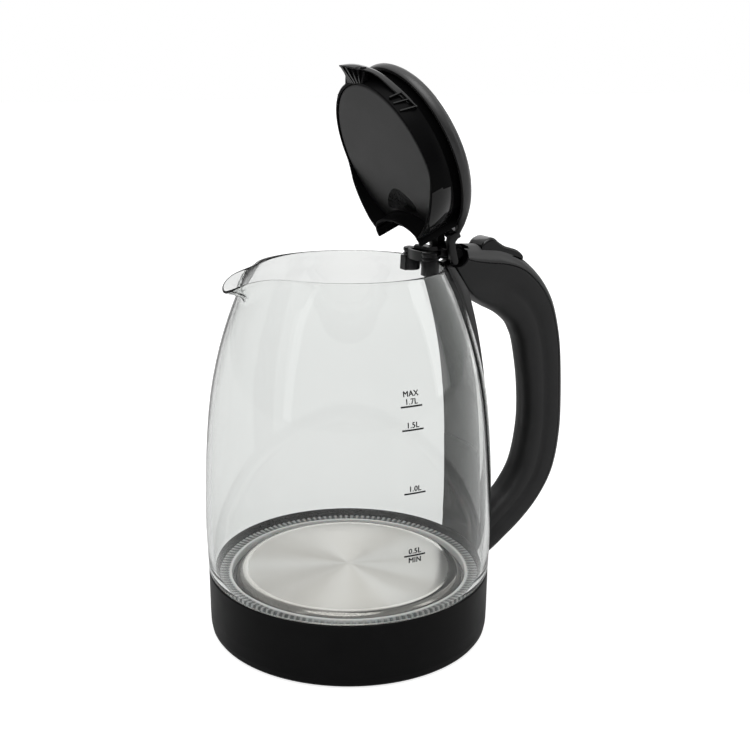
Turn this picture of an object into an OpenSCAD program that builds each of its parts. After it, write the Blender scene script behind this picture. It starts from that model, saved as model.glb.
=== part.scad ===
// Electric kettle: glass jug on a black collar, loop handle, tilting lid.
// Z up, origin on the jug's axis at the standing plane, handle toward +X,
// spout toward -X. The lid is drawn at its open stop.

/* [Jug] */
// Height of the jug's rim above the standing plane
rim_z = 199; // [197.5:0.5:201]
// Thickness of the glass wall
glass_t = 2.6; // [2:0.1:3]
// Radius of the rim's bead at its middle
rim_r = 49.3; // [49:0.1:49.5]
// Reach of the spout's lip from the jug's axis
spout_x = 69; // [66:0.5:72]

/* [Base] */
// Outer radius of the collar
collar_r = 76; // [75.9:0.05:76.2]
// Height of the collar's top edge
collar_z = 34.7; // [34.5:0.1:34.8]
// Radius of the flat top of the heating plate
plate_r = 57.2; // [54:0.2:58]
// Height of the flat top of the heating plate
plate_z = 33.3; // [33:0.1:34]
// Bore radius of the coupler socket
socket_r = 16.5; // [16:0.1:17]
// Depth of the coupler socket's bore
socket_d = 9; // [8:0.5:10]
// Radius of the circle that the feet stand on
feet_pcr = 62; // [58:1:64]

/* [Lid] */
// Angle of the lid at its open stop
lid_open = 66; // [60:1:68]
// Radius of the lid cap's lower edge
lid_r = 46.2; // [45:0.2:46.6]
// Height of the lid dome's crown over the cap's lower edge
lid_h = 14.6; // [14:0.2:18]
// Radius of the liner's flat plate
liner_r = 41.6; // [40:0.2:42]

/* [Handle] */
// Half width of the grip
grip_w = 11; // [10:0.5:12]
// Half angle of the strip that hugs the glass
strip_a = 15; // [13:0.5:16]
// Travel of the release button
button_travel = 3; // [2:0.5:3]

/* [Hidden] */
$fn = 96;
e = 0.01;

// Lid hinge axis, along Y
hx = 60.4;
hz = 201.2;
// Outline of the glass, [radius, height], from the collar to the rim's bead
glass_pts = [[76, 35.1], [76.45, 48], [76.8, 62], [76.35, 80], [75.55, 98],
    [74.2, 116], [72.3, 132], [69.6, 146], [66, 160], [62.1, 172],
    [57.4, 184], [52.9, 193], [50.7, 197.2]];
// Grip stations: inner point then outer crown point, [x, z] each
grip_pts = [[[58.9, 193.4], [58.2, 205]], [[67.4, 182.5], [67.2, 204]], [[74, 174.5], [80, 204.6]],
    [[82, 169.5], [91, 202]], [[91.5, 164.5], [103.5, 196]],
    [[99.3, 158], [114.5, 187]], [[103, 152], [122, 177.5]],
    [[105.6, 145.5], [127, 167]], [[108.2, 133.5], [131.4, 150]],
    [[110.2, 121.5], [134, 130]], [[111.3, 109], [135.4, 111]],
    [[111.2, 97], [135.5, 94]], [[109, 82], [133.4, 76.5]],
    [[105.3, 71], [129, 63.5]], [[98, 60.5], [120.8, 51]],
    [[90, 53.5], [110, 40]], [[84, 48.6], [98, 31]],
    [[82, 42.6], [88.3, 26.4]]];

// Catmull-Rom spline through points of any size, n steps a span
function cr(a, b, c, d, t) = 0.5 * (2 * b + (c - a) * t
    + (2 * a - 5 * b + 4 * c - d) * t * t
    + (3 * b - a - 3 * c + d) * t * t * t);
function spline(p, n) = concat([for (i = [0:len(p) - 2], k = [0:n - 1])
    cr(p[max(i - 1, 0)], p[i], p[i + 1], p[min(i + 2, len(p) - 1)], k / n)],
    [p[len(p) - 1]]);
function rev(l) = [for (i = [len(l) - 1:-1:0]) l[i]];
function shift(l, d) = [for (p = l) [p[0] + d, p[1]]];
glass_out = spline(glass_pts, 3);
// Part of the glass outline between two heights
function between(l, a, b) = [for (p = l) if (p[1] >= a && p[1] <= b) p];

// Solid between closed rings of points
module skin(rings) {
    n = len(rings[0]);
    m = len(rings);
    polyhedron(points = [for (r = rings, p = r) p],
        faces = concat([[for (j = [0:n - 1]) j]],
            [for (i = [0:m - 2], j = [0:n - 1]) [i * n + j,
                (i + 1) * n + j, (i + 1) * n + (j + 1) % n,
                i * n + (j + 1) % n]],
            [[for (j = [n - 1:-1:0]) (m - 1) * n + j]]));
}
// Round tube of radius r along a path of points
function unit(v) = v / norm(v);
module tube(path, r, k = 8) {
    m = len(path);
    skin([for (i = [0:m - 1]) let (
        t = unit(path[min(i + 1, m - 1)] - path[max(i - 1, 0)]),
        s = abs(t[1]) < 0.9 ? [0, 1, 0] : [1, 0, 0],
        a = unit(cross(t, s)), b = cross(t, a))
        [for (j = [0:k - 1]) path[i] + r * (cos(360 * j / k) * a
            + sin(360 * j / k) * b)]]);
}
// Cylinder along Y between two values of y
module ycyl(x, z, r, y0, y1) {
    translate([x, y0, z]) rotate([-90, 0, 0]) cylinder(h = y1 - y0, r = r);
}
// Plate of an XZ outline between two values of y
module yplate(pts, y0, y1) {
    translate([0, y1, 0]) rotate([90, 0, 0])
        linear_extrude(height = y1 - y0) polygon(pts);
}
module bx(x0, x1, y0, y1, z0, z1) {
    translate([x0, y0, z0]) cube([x1 - x0, y1 - y0, z1 - z0]);
}
// Places a lid piece, drawn closed, at the open stop
module opened() {
    translate([hx, 0, hz]) rotate([0, lid_open, 0])
        translate([-hx, 0, -hz]) children();
}
// A coil of round wire along Z
module coil(r, w, z0, z1, turns) {
    n = turns * 12;
    tube([for (i = [0:n]) [r * cos(30 * i), r * sin(30 * i),
        z0 + w + (z1 - z0 - 2 * w) * i / n]], w, 6);
}

// ---- jug and base ----
module glass_jug() color([0.86, 0.92, 0.92, 0.4]) {
    difference() {
        union() {
            rotate_extrude() polygon(concat([[0, 29.6], [74.3, 29.6],
                [74.8, 34.6], [75.6, 34.8]], glass_out,
                [[50.3, 199], [0, 199]]));
            hull() {
                translate([-spout_x + 1.2, 0, 190.6]) sphere(r = 1.6, $fn = 24);
                for (s = [-1, 1]) rotate([0, 0, 180 + s * 30])
                    translate([48, 0, 196.5]) sphere(r = 2, $fn = 24);
                translate([-56, 0, 178]) sphere(r = 2, $fn = 24);
                translate([-50, 0, 196.5]) sphere(r = 2, $fn = 24);
            }
        }
        rotate_extrude() polygon(concat([[0, 20], [71.7, 20], [71.7, 31],
            [72.6, 34.5]], shift(between(glass_out, 38, 198), -glass_t),
            [[rim_r - 1.7, 199.2], [rim_r - 1.7, 210], [0, 210]]));
        hull() {
            translate([-spout_x + 3, 0, 193.4]) sphere(r = 1.6, $fn = 24);
            for (s = [-1, 1]) rotate([0, 0, 180 + s * 27])
                translate([46.8, 0, 198]) sphere(r = 1.4, $fn = 24);
            translate([-54, 0, 180.5]) sphere(r = 1.6, $fn = 24);
            translate([-40, 0, 190]) sphere(r = 2, $fn = 24);
            translate([-spout_x, 0, 215]) sphere(r = 2, $fn = 24);
            translate([-44, 0, 215]) cube([4, 40, 2], center = true);
        }
        // the spout's lip falls away to its tip
        yplate([[-50, 199.6], [-66, 193], [-90, 190.6], [-90, 230],
            [-50, 230]], -40, 40);
    }
}
module seal_ring() color([0.62, 0.64, 0.64])
    rotate_extrude() polygon([[63.6, 27.6], [73.4, 27.6], [73.4, 29.5],
        [71.6, 29.5], [71.6, 31.2], [70.6, 32], [66, 31.6], [64.2, 32.2],
        [63.6, 31.6]]);
module heating_plate() color([0.74, 0.73, 0.71])
    rotate_extrude() polygon([[0, plate_z - 0.9], [plate_r - 0.4, plate_z - 0.9],
        [plate_r + 1.6, plate_z - 2], [plate_r + 3.2, plate_z - 4.4],
        [plate_r + 3.8, 26.6], [72.4, 26.6], [72.4, 27.5],
        [plate_r + 4.7, 27.5], [plate_r + 4.1, plate_z - 4],
        [plate_r + 2.3, plate_z - 1.2], [plate_r, plate_z], [0, plate_z]]);
module heat_spreader() color([0.8, 0.8, 0.82])
    translate([0, 0, 28.9]) cylinder(h = 3.4, r = 52);
module heater_element() color([0.45, 0.43, 0.42]) {
    rotate([0, 0, 30]) rotate_extrude(angle = 300)
        translate([40, 25.5]) circle(r = 3.3);
    for (s = [-1, 1]) rotate([0, 0, s * 36]) translate([40, 0, 17])
        cylinder(h = 7.6, r = 2.4);
}
module element_terminals() color([0.72, 0.62, 0.36])
    for (s = [-1, 1]) rotate([0, 0, s * 36]) translate([40, 0, 0]) {
        translate([0, 0, 12]) cylinder(h = 4.95, r = 1.4);
        bx(-3, 3, -0.4, 0.4, 8.2, 12);
    }
module base_frame() color([0.2, 0.2, 0.21])
    difference() {
        union() {
            rotate_extrude() polygon([[61, 20], [73.4, 20], [73.4, 27.5],
                [72.5, 27.5], [72.5, 26.5], [61, 26.5]]);
            for (i = [0:3]) rotate([0, 0, 45 + 90 * i])
                translate([67, 0, 4.3]) cylinder(h = 16, r = 4);
        }
        for (i = [0:3]) rotate([0, 0, 45 + 90 * i])
            translate([67, 0, 4]) cylinder(h = 14, r = 1.4);
        translate([60, 0, 23.2]) rotate([0, 90, 0]) cylinder(h = 20, r = 1.6);
        bx(58, 66, -3.4, 3.4, 19, 27);
    }
module collar() color([0.06, 0.06, 0.065])
    difference() {
        rotate_extrude() polygon([[73.6, 1.6], [74.4, 1], [75.2, 2.2],
            [75.7, 5], [collar_r - 0.1, 12], [collar_r, collar_z - 0.6],
            [collar_r - 0.4, collar_z], [75.1, collar_z], [75.1, 29.6],
            [73.6, 29.4]]);
        bx(70, 80, -8.5, 8.5, 5.6, 18.4);
        translate([70, 0, 23.2]) rotate([0, 90, 0]) cylinder(h = 10, r = 1.6);
    }
module bottom_cover() color([0.1, 0.1, 0.105])
    difference() {
        union() {
            translate([0, 0, 2]) cylinder(h = 2.2, r = 73.4);
            translate([0, 0, 4]) cylinder(h = 4, r = 22.6);
        }
        translate([0, 0, 1]) cylinder(h = 10, r = 20.15);
        for (i = [0:3]) rotate([0, 0, 45 + 90 * i])
            translate([67, 0, 1]) cylinder(h = 5, r = 1.9);
        for (i = [0:3], k = [0:4]) rotate([0, 0, 90 * i - 8 + 4 * k])
            bx(30, 44, -0.7, 0.7, 1, 5);
        bx(58, 80, -9, 9, 1, 5);
        for (i = [0:3]) rotate([0, 0, 22.5 + 90 * i])
            translate([feet_pcr, 0, 1.9]) cylinder(h = 0.7, r = 6.02);
    }
module feet() color([0.28, 0.28, 0.29])
    for (i = [0:3]) rotate([0, 0, 22.5 + 90 * i])
        translate([feet_pcr, 0, 0]) {
            cylinder(h = 1, r1 = 5.2, r2 = 6);
            translate([0, 0, 1]) cylinder(h = 1.58, r = 6);
        }
module base_screws() color([0.7, 0.7, 0.72])
    for (i = [0:3]) rotate([0, 0, 45 + 90 * i]) translate([67, 0, 0])
        difference() {
            union() {
                translate([0, 0, 0.9]) cylinder(h = 1.08, r = 3);
                translate([0, 0, 1.9]) cylinder(h = 12, r = 1.38);
            }
            bx(-2, 2, -0.4, 0.4, 0.8, 1.4);
            bx(-0.4, 0.4, -2, 2, 0.8, 1.4);
        }
module coupler_socket() color([0.13, 0.13, 0.14])
    difference() {
        union() {
            translate([0, 0, 1]) cylinder(h = 20, r = 20.1);
            translate([0, 0, 12]) cylinder(h = 3, r = 26);
            for (i = [0:2]) rotate([0, 0, 90 + 120 * i])
                translate([23, 0, 12]) cylinder(h = 16.8, r = 2.4);
        }
        translate([0, 0, 0]) cylinder(h = socket_d + 1, r = socket_r);
        translate([0, 0, 8]) cylinder(h = 11, r = 3.6);
        translate([0, 0, 8]) difference() {
            cylinder(h = 8, r = 11.8);
            translate([0, 0, -1]) cylinder(h = 10, r = 9.4);
        }
    }
module bimetal_discs() color([0.78, 0.6, 0.42])
    for (s = [-1, 1]) translate([s * 12, 0, 24.4]) rotate_extrude()
        polygon([[0, 0.9], [4, 0.75], [8.5, 0], [8.5, 0.5], [4, 1.25],
            [0, 1.4]]);
module thermal_cutout() color([0.9, 0.88, 0.82])
    difference() {
        bx(-9, 9, -17, -9, 21.2, 24.2);
        translate([-6, -13, 20]) cylinder(h = 6, r = 1.2);
        translate([6, -13, 20]) cylinder(h = 6, r = 1.2);
    }
module steam_switch() color([0.16, 0.16, 0.17])
    difference() {
        union() {
            bx(46, 60, -9, 9, 5, 19.4);
            for (s = [-1, 1]) bx(59, 67, s > 0 ? 7 : -9.4,
                s > 0 ? 9.4 : -7, 8, 16.5);
        }
        ycyl(63.4, 12, 1.55, -12, 12);
        translate([52, 0, 17.6]) cylinder(h = 3, r = 6);
    }
module steam_tube() color([0.78, 0.78, 0.76])
    tube(spline([[77, 0, 182.4], [86, 0, 180.4], [96, 0, 175.4], [106, 0, 168],
        [114, 0, 156], [118.5, 0, 140], [121, 0, 122], [121.8, 0, 104],
        [120.5, 0, 88], [117.2, 0, 74], [110.5, 0, 62], [101, 0, 51],
        [91, 0, 42.5]], 2), 2.6);
module inner_wires() color([0.8, 0.2, 0.16]) {
    for (s = [-1, 1])
        tube(spline([[19.4, 7 * s, 10.6], [25, 10.4 * s, 9.8],
            [30, 13.6 * s, 8.6], [33.2, 18 * s, 9.4]], 3), 1.1, 8);
    tube(spline([[20.3, 0, 10.6], [28, 1, 9.4], [38, 1, 8.6],
        [45.9, 0, 9.8]], 3), 1.1, 8);
}

// ---- handle ----
// Outline shared by the grip's shell: fractions of the depth, half widths
function at(st, u, v) = [st[0][0] + u * (st[1][0] - st[0][0]), v,
    st[0][1] + u * (st[1][1] - st[0][1])];
function ring(st, prof) = concat([for (p = prof) at(st, p[0], p[1])],
    [for (p = rev(prof)) at(st, p[0], -p[1])]);
shell_prof = [[0, 2.5], [0.03, 5.4], [0.1, 8], [0.2, 9.4], [0.31, 9.6],
    [0.4, 9.1], [0.48, 10.4], [0.62, grip_w], [0.745, grip_w],
    [0.745, 8.9], [0.5, 8.4], [0.3, 7.2], [0.18, 6.2], [0.12, 2.5]];
spine_prof = [[1, 2], [0.965, 5.4], [0.9, 8.6], [0.82, 10.4],
    [0.752, grip_w], [0.752, 8.9], [0.85, 7.6], [0.89, 5], [0.93, 2]];
grip = spline(grip_pts, 3);
// Button opening in the spine
module button_well() bx(76.4, 104.4, -7.4, 7.4, 188, 215);
module hinge_well() {
    // round seat of the hinge arms, open to the front
    ycyl(59.9, 200.4, 6.3, -15, 15);
    yplate([[40, 196.8], [52.6, 196.8], [56.9, 195.6], [59.9, 200.4],
        [57.9, 206.2], [57.9, 212], [40, 212]], -15, 15);
    // wider room between them
    ycyl(hx, hz, 8.8, -6.8, 6.8);
    yplate([[40, 194], [60, 194], [hx, 212], [40, 212]], -6.8, 6.8);
}
module handle_shell() color([0.085, 0.085, 0.09])
    difference() {
        union() {
            skin([for (s = grip) ring(s, shell_prof)]);
            // head, against the strip
            yplate([[62, 194], [64, 195.4], [70, 200.4], [71.5, 197],
                [73, 176], [72, 171.5], [69.2, 172], [66.5, 181.4],
                [65, 186]], -11.4, 11.4);
            // foot, on the collar
            yplate([[76.7, 19.6], [82, 21], [88.6, 26.3], [88.9, 27],
                [83.4, 43.6], [81, 46.6], [81, 36.4],
                [76.9, 35.9], [76.7, 35.2]], -grip_w, grip_w);
        }
        hinge_well();
        bx(66, 81, -9.6, 9.6, 185.9, 199.4);
        bx(63.5, 66.1, -9.6, 9.6, 188.4, 193);
        bx(78, 102, -8.6, 8.6, 185.6, 197.2);
        button_well();
        translate([70, 0, 23.2]) rotate([0, 90, 0]) cylinder(h = 15, r = 1.5);
        translate([71, 0, 170]) cylinder(h = 16.2, r = 2.7);
    }
module handle_spine() color([0.11, 0.11, 0.115])
    difference() {
        skin([for (s = grip) ring(s, spine_prof)]);
        hinge_well();
        button_well();
        bx(60, 74.6, -8.8, 8.8, 190, 202.4);
        // seat on the shell's foot
        yplate([[70, 18], [82.2, 20.8], [88.8, 26.2], [89.08, 26.95],
            [83.58, 43.7], [81, 47], [70, 47]], -15, 15);
    }
module strip_sector(a, g0, g1, z0, z1) {
    rotate([0, 0, -a]) rotate_extrude(angle = 2 * a)
        polygon(concat(shift(between(glass_out, z0, z1), g0),
            rev([for (p = between(glass_out, z0, z1)) [p[0] + g1(p[1]), p[1]]])));
}
module handle_strip() color([0.12, 0.12, 0.125])
    difference() {
        strip_sector(strip_a, 1.1, function (z) z < 110 ? 3.8
            : 3.8 + 3 * pow((z - 110) / 64, 2)
                - (z > 182 ? 0.26 * (z - 182) : 0), 37, 194);
        hinge_well();
    }
module upper_bond_pad() color([0.35, 0.36, 0.36])
    strip_sector(strip_a - 0.5, 0.12, function (z) 1.05, 118, 190);
module lower_bond_pad() color([0.3, 0.31, 0.31])
    strip_sector(strip_a - 0.5, 0.12, function (z) 1.05, 40, 92);
module handle_chassis() color([0.66, 0.67, 0.69])
    difference() {
        bx(66.2, 101, -8.2, 8.2, 186, 187.6);
        translate([90, 0, 184]) cylinder(h = 6, r = 1.2);
        translate([71, 0, 184]) cylinder(h = 6, r = 1.55);
    }
module hinge_bracket() color([0.15, 0.15, 0.155])
    difference() {
        union() {
            // centre ear, carried on the chassis plate
            ycyl(hx, hz, 4.9, -6.3, 6.3);
            yplate([[55.6, 199.9], [64.6, 199.2], [68.6, 193.4],
                [68.6, 187.7], [73.8, 187.7], [73.8, 189], [70.4, 190.6],
                [70.4, 194.6], [65, 203.2], [58, 204.4]], -6.3, 6.3);
            // bridge over the rim and the two clamp blocks inside it
            yplate([[39, 199.9], [60, 199.9], [60, 203.2], [39, 203.2]],
                -6.3, 6.3);
            bx(39, 45.4, -14, 14, 199.9, 203.2);
            for (s = [-1, 1]) translate([42.2, s * 11, 191])
                cylinder(h = 12.2, r = 3.1);
            for (s = [-1, 1]) bx(39, 42.2, s * 11 - 3, s * 11 + 3, 191, 200);
        }
        ycyl(hx, hz, 1.5, -20, 20);
        translate([71, 0, 185]) cylinder(h = 3.4, r = 1.2);
        bx(57, 64, -3.4, 3.4, 197, 207);
        // groove round each clamp block
        for (s = [-1, 1]) translate([42.2, s * 11, 197.6]) difference() {
            cylinder(h = 0.7, r = 6);
            translate([0, 0, -1]) cylinder(h = 3, r = 2.7);
        }
    }
module hinge_pin() color([0.75, 0.75, 0.77]) ycyl(hx, hz, 1.5, -9.2, 9.2);
module lid_spring() color([0.7, 0.71, 0.72])
    translate([hx, 0, hz]) rotate([-90, 0, 0])
        difference() {
            translate([0, 0, -3.1]) cylinder(h = 6.2, r = 3);
            translate([0, 0, -4]) cylinder(h = 8, r = 1.5);
            for (k = [0:5]) translate([0, 0, -2.5 + k]) difference() {
                cylinder(h = 0.35, r = 4);
                translate([0, 0, -1]) cylinder(h = 3, r = 2.7);
            }
        }
module button_spring() color([0.7, 0.71, 0.72])
    translate([90, 0, 0]) coil(2.6, 0.35, 187.7, 198.7, 6);
module handle_screws() color([0.7, 0.7, 0.72]) {
    translate([65.7, 0, 23.2]) rotate([0, 90, 0]) cylinder(h = 18.3, r = 1.48);
    translate([64.3, 0, 23.2]) rotate([0, 90, 0]) cylinder(h = 1.5, r = 2.9);
    translate([71, 0, 184.2]) cylinder(h = 1.75, r = 2.6);
    translate([71, 0, 185]) cylinder(h = 3.35, r = 1.19);
}
module switch_spring() color([0.7, 0.71, 0.72])
    tube(spline([[60.2, 0, 6.6], [62, 0, 6.2], [64, 0, 6.4], [66, 0, 6.2]], 3), 0.4, 6);

// ---- lid, drawn closed ----
cap_out = spline([[lid_r, 199.3], [47.1, 201.6], [46.6, 204], [44.4, 206.2],
    [38, 208.9], [26, 211.8], [13, 213.4], [0, 199.3 + lid_h]], 2);
module tongue(g, x1) hull() {
    translate([28, -16 + g, 204.6]) cube([2, 32 - 2 * g, 5 - g]);
    translate([x1 - 8, 0, 204.6])
        cylinder(h = 4.7 - g, r1 = 11.8 - g, r2 = 10 - g, $fn = 32);
}
module lid_cap() color([0.16, 0.16, 0.165])
    opened() difference() {
        union() {
            rotate_extrude() polygon(concat(cap_out, [[0, 199.3]]));
            intersection() {
                tongue(0, 52.2);
                bx(20, 70, -30, 30, 199, 230);
            }
        }
        rotate_extrude() polygon(concat([[0, 190], [lid_r - 2, 190],
            [lid_r - 2, 199.3], [45, 201.6], [44.6, 203.6], [42.9, 204.8]],
            [[37.3, 206.9], [25.6, 209.8], [12.8, 211.4],
            [0, 197.2 + lid_h]]));
        // passage for the hinge arms and the clamp below
        intersection() {
            translate([48, 0, 190]) cylinder(h = 15.8, r = 19.9);
            bx(30, 70, -14.6, 14.6, 190, 206.1);
        }
        translate([0, 0, -1.6]) tongue(1.8, 50.4);
        for (s = [-1, 1]) {
            bx(47, 60, s * 8.9 - 2.1, s * 8.9 + 2.1, 200, 208.2);
            translate([46.4, s * 8.9, 200]) cylinder(h = 7.6, r = 1.2);
        }
    }
// Space kept clear for the rim clamp
module clamp_space(r) translate([48, 0, 160]) cylinder(h = 44.6, r = r);
// Everything above the skirt's slanted lower edge
module skirt_keep(d) yplate([[-60, 185 + d], [10, 185 + d],
    [42, 176.8 + d], [60, 172.2 + d], [60, 240], [-60, 240]], -60, 60);
module lid_liner() color([0.07, 0.07, 0.075])
    opened() difference() {
        union() {
            intersection() {
                difference() {
                    translate([0, 0, 170]) cylinder(h = 33, r = 43.2);
                    translate([0, 0, 169]) cylinder(h = 40, r = 41.7);
                }
                skirt_keep(0);
            }
            // wall and roof of the arch round the rim clamp
            intersection() {
                translate([48, 0, 160]) cylinder(h = 43, r = 21.4);
                cylinder(h = 300, r = 43.2);
                skirt_keep(0);
            }
            intersection() {
                translate([48, 0, 190]) cylinder(h = 15.4, r = 21.4);
                cylinder(h = 300, r = 40.4);
                bx(20, 39.7, -20, 20, 185, 210);
            }
            // rim flange that the cap snaps on
            translate([0, 0, 201.4]) difference() {
                cylinder(h = 1.6, r = 44);
                translate([0, 0, -1]) cylinder(h = 4, r = 41.7);
            }
        }
        translate([48, 0, 150]) cylinder(h = 54.4, r = 20);
        bx(39.7, 60, -20, 20, 203.1, 215);
    }
module lid_plate() color([0.07, 0.07, 0.075])
    opened() difference() {
        translate([0, 0, 185]) cylinder(h = 1.8, r = liner_r);
        translate([48, 0, 150]) cylinder(h = 90, r = 21.5);
    }
module lid_strainer() color([0.075, 0.075, 0.08])
    opened() difference() {
        hull() {
            translate([-44.6, -15, 185.2]) cube([1, 30, 11.6]);
            translate([-45, -12, 192]) cube([1, 24, 5.4]);
            translate([-52.8, 0, 181.6]) sphere(r = 1, $fn = 20);
            translate([-49.6, 0, 190.6]) sphere(r = 1, $fn = 20);
        }
        cylinder(h = 300, r = 43.3);
        for (k = [-2:2]) bx(-60, -43, k * 3.4 - 0.7, k * 3.4 + 0.7, 170, 188.4);
    }
module lid_tabs() color([0.1, 0.1, 0.105])
    opened() for (s = [-1, 1]) rotate([0, 0, s * 132]) {
        bx(43.3, 45.2, -5, 5, 187.5, 195.5);
        for (k = [-1:1]) bx(45, 46.2, 3 * k - 0.6, 3 * k + 0.6, 188.5, 194.5);
    }
module lid_hinge_arms() color([0.09, 0.09, 0.095])
    opened() difference() {
        for (s = [-1, 1]) {
            ycyl(hx, hz, 3.6, s > 0 ? 6.9 : -9.6, s > 0 ? 9.6 : -6.9);
            yplate([[40, 204.5], [49, 204.5], [49, 199.6], [51.8, 198.2],
                [53.5, 197.2], [58.7, 195], [61.7, 195], [64.6, 197],
                [64.9, 199.2], [61.4, 201], [55.6, 203], [55, 206],
                [47.2, 205.8], [40, 205.8]],
                s > 0 ? 6.9 : -10.7, s > 0 ? 10.7 : -6.9);
        }
        ycyl(hx, hz, 1.56, -9.25, 9.25);
        for (s = [-1, 1]) translate([46.4, s * 8.9, 200])
            cylinder(h = 8, r = 1.25);
    }
module lid_screws() color([0.7, 0.7, 0.72])
    opened() for (s = [-1, 1]) translate([46.4, s * 8.9, 0]) {
        translate([0, 0, 203.6]) cylinder(h = 0.85, r = 1.9);
        translate([0, 0, 204.4]) cylinder(h = 3.1, r = 1.18);
    }

// ---- moving pieces in the handle and base ----
module release_button() color([0.13, 0.13, 0.135])
    difference() {
        yplate([[76.9, 201.4], [76.9, 204.8], [79.6, 206.8], [84, 207.9],
            [88, 207.6], [93.4, 205.4], [99, 201.8], [104, 197.4],
            [103.6, 194.8], [99, 196.6], [94, 198.3], [82, 201.4]], -7, 7);
        // finger dish
        ycyl(99, 219, 18, -8, 8);
    }
module lid_catch() color([0.2, 0.2, 0.21])
    difference() {
        union() {
            bx(74.6, 98, -6.4, 6.4, 188.2, 189.8);
            bx(74.6, 76.4, -8.4, 8.4, 188.2, 196);
            for (s = [-1, 1]) bx(67.3, 75, s > 0 ? 7.1 : -8.4,
                s > 0 ? 8.4 : -7.1, 193.4, 196);
        }
        bx(84, 95.2, -3.5, 3.5, 187, 191);
    }
module switch_lever() color([0.12, 0.12, 0.125])
    union() {
        ycyl(63.4, 12, 1.49, -9.3, 9.3);
        ycyl(63.4, 12, 3, -6.5, 6.5);
        yplate([[63.4, 9.6], [78, 9.8], [83.8, 11.2], [84.6, 13],
            [83, 15], [78, 14.6], [63.4, 14.6]], -6.5, 6.5);
        yplate([[79, 9.9], [83.8, 11.2], [84.6, 13], [83, 15],
            [79, 14.7]], -8, 8);
    }

glass_jug();
seal_ring();
heating_plate();
heat_spreader();
heater_element();
element_terminals();
base_frame();
collar();
bottom_cover();
feet();
base_screws();
coupler_socket();
bimetal_discs();
thermal_cutout();
steam_switch();
steam_tube();
inner_wires();
handle_shell();
handle_spine();
handle_strip();
upper_bond_pad();
lower_bond_pad();
handle_chassis();
hinge_bracket();
hinge_pin();
lid_spring();
button_spring();
handle_screws();
switch_spring();
lid_cap();
lid_liner();
lid_plate();
lid_strainer();
lid_tabs();
lid_hinge_arms();
lid_screws();
release_button();
lid_catch();
switch_lever();
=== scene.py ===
import math

import bmesh
import bpy
import numpy as np
from mathutils import Matrix, Vector

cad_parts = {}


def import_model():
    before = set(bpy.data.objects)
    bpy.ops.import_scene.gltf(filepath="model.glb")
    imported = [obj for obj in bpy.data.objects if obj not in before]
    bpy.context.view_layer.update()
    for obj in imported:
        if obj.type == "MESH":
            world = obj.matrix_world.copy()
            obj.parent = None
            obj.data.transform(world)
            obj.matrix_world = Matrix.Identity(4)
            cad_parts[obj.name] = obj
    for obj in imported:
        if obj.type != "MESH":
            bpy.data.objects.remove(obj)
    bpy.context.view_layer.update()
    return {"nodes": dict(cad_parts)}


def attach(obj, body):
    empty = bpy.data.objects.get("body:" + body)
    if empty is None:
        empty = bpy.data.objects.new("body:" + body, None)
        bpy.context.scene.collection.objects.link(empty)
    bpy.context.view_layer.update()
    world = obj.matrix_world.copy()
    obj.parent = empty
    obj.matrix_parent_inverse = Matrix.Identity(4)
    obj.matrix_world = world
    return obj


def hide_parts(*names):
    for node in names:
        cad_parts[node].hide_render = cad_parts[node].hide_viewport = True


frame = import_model()
MM = 0.001
HX, HZ, OPEN = 60.4, 201.2, math.radians(66)
SCENE = bpy.context.scene


# ------------------------------------------------------------------ helpers
def catmull(p, n, closed=False):
    p = [tuple(q) for q in p]
    m, out = len(p), []
    for i in range(m if closed else m - 1):
        a = p[(i - 1) % m] if closed else p[max(i - 1, 0)]
        b, c = p[i], p[(i + 1) % m]
        d = p[(i + 2) % m] if closed else p[min(i + 2, m - 1)]
        for k in range(n):
            t = k / n
            out.append(tuple(
                0.5 * (2 * B + (C - A) * t + (2 * A - 5 * B + 4 * C - D) * t * t
                       + (3 * B - A - 3 * C + D) * t ** 3)
                for A, B, C, D in zip(a, b, c, d)))
    if not closed:
        out.append(p[-1])
    return out


def smooth(a, b, x):
    t = min(max((x - a) / (b - a), 0.0), 1.0)
    return t * t * (3 - 2 * t)


def fillet(poly, r, n=4, keep=()):
    """Closed 2D outline with every corner rounded by about r (corners listed in keep stay sharp)."""
    out, m = [], len(poly)
    for i, p in enumerate(poly):
        if i in keep:
            out.append(tuple(p))
            continue
        a, c = Vector(poly[i - 1]), Vector(poly[(i + 1) % m])
        p = Vector(p)
        u, w = a - p, c - p
        if u.length < 1e-6 or w.length < 1e-6:
            continue
        ang = u.angle(w)
        cut = r / max(math.tan(ang / 2), 0.15)
        cut = min(cut, 0.45 * u.length, 0.45 * w.length)
        s, e = p + u.normalized() * cut, p + w.normalized() * cut
        if ang > math.radians(172):
            out.append(tuple(p))
            continue
        for k in range(n + 1):
            t = k / n
            q = s * (1 - t) ** 2 + p * 2 * t * (1 - t) + e * t * t
            out.append(tuple(q))
    return out


def opened(v):
    x, y, z = v[0] - HX, v[1], v[2] - HZ
    c, s = math.cos(OPEN), math.sin(OPEN)
    return (HX + x * c + z * s, y, HZ - x * s + z * c)


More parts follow.
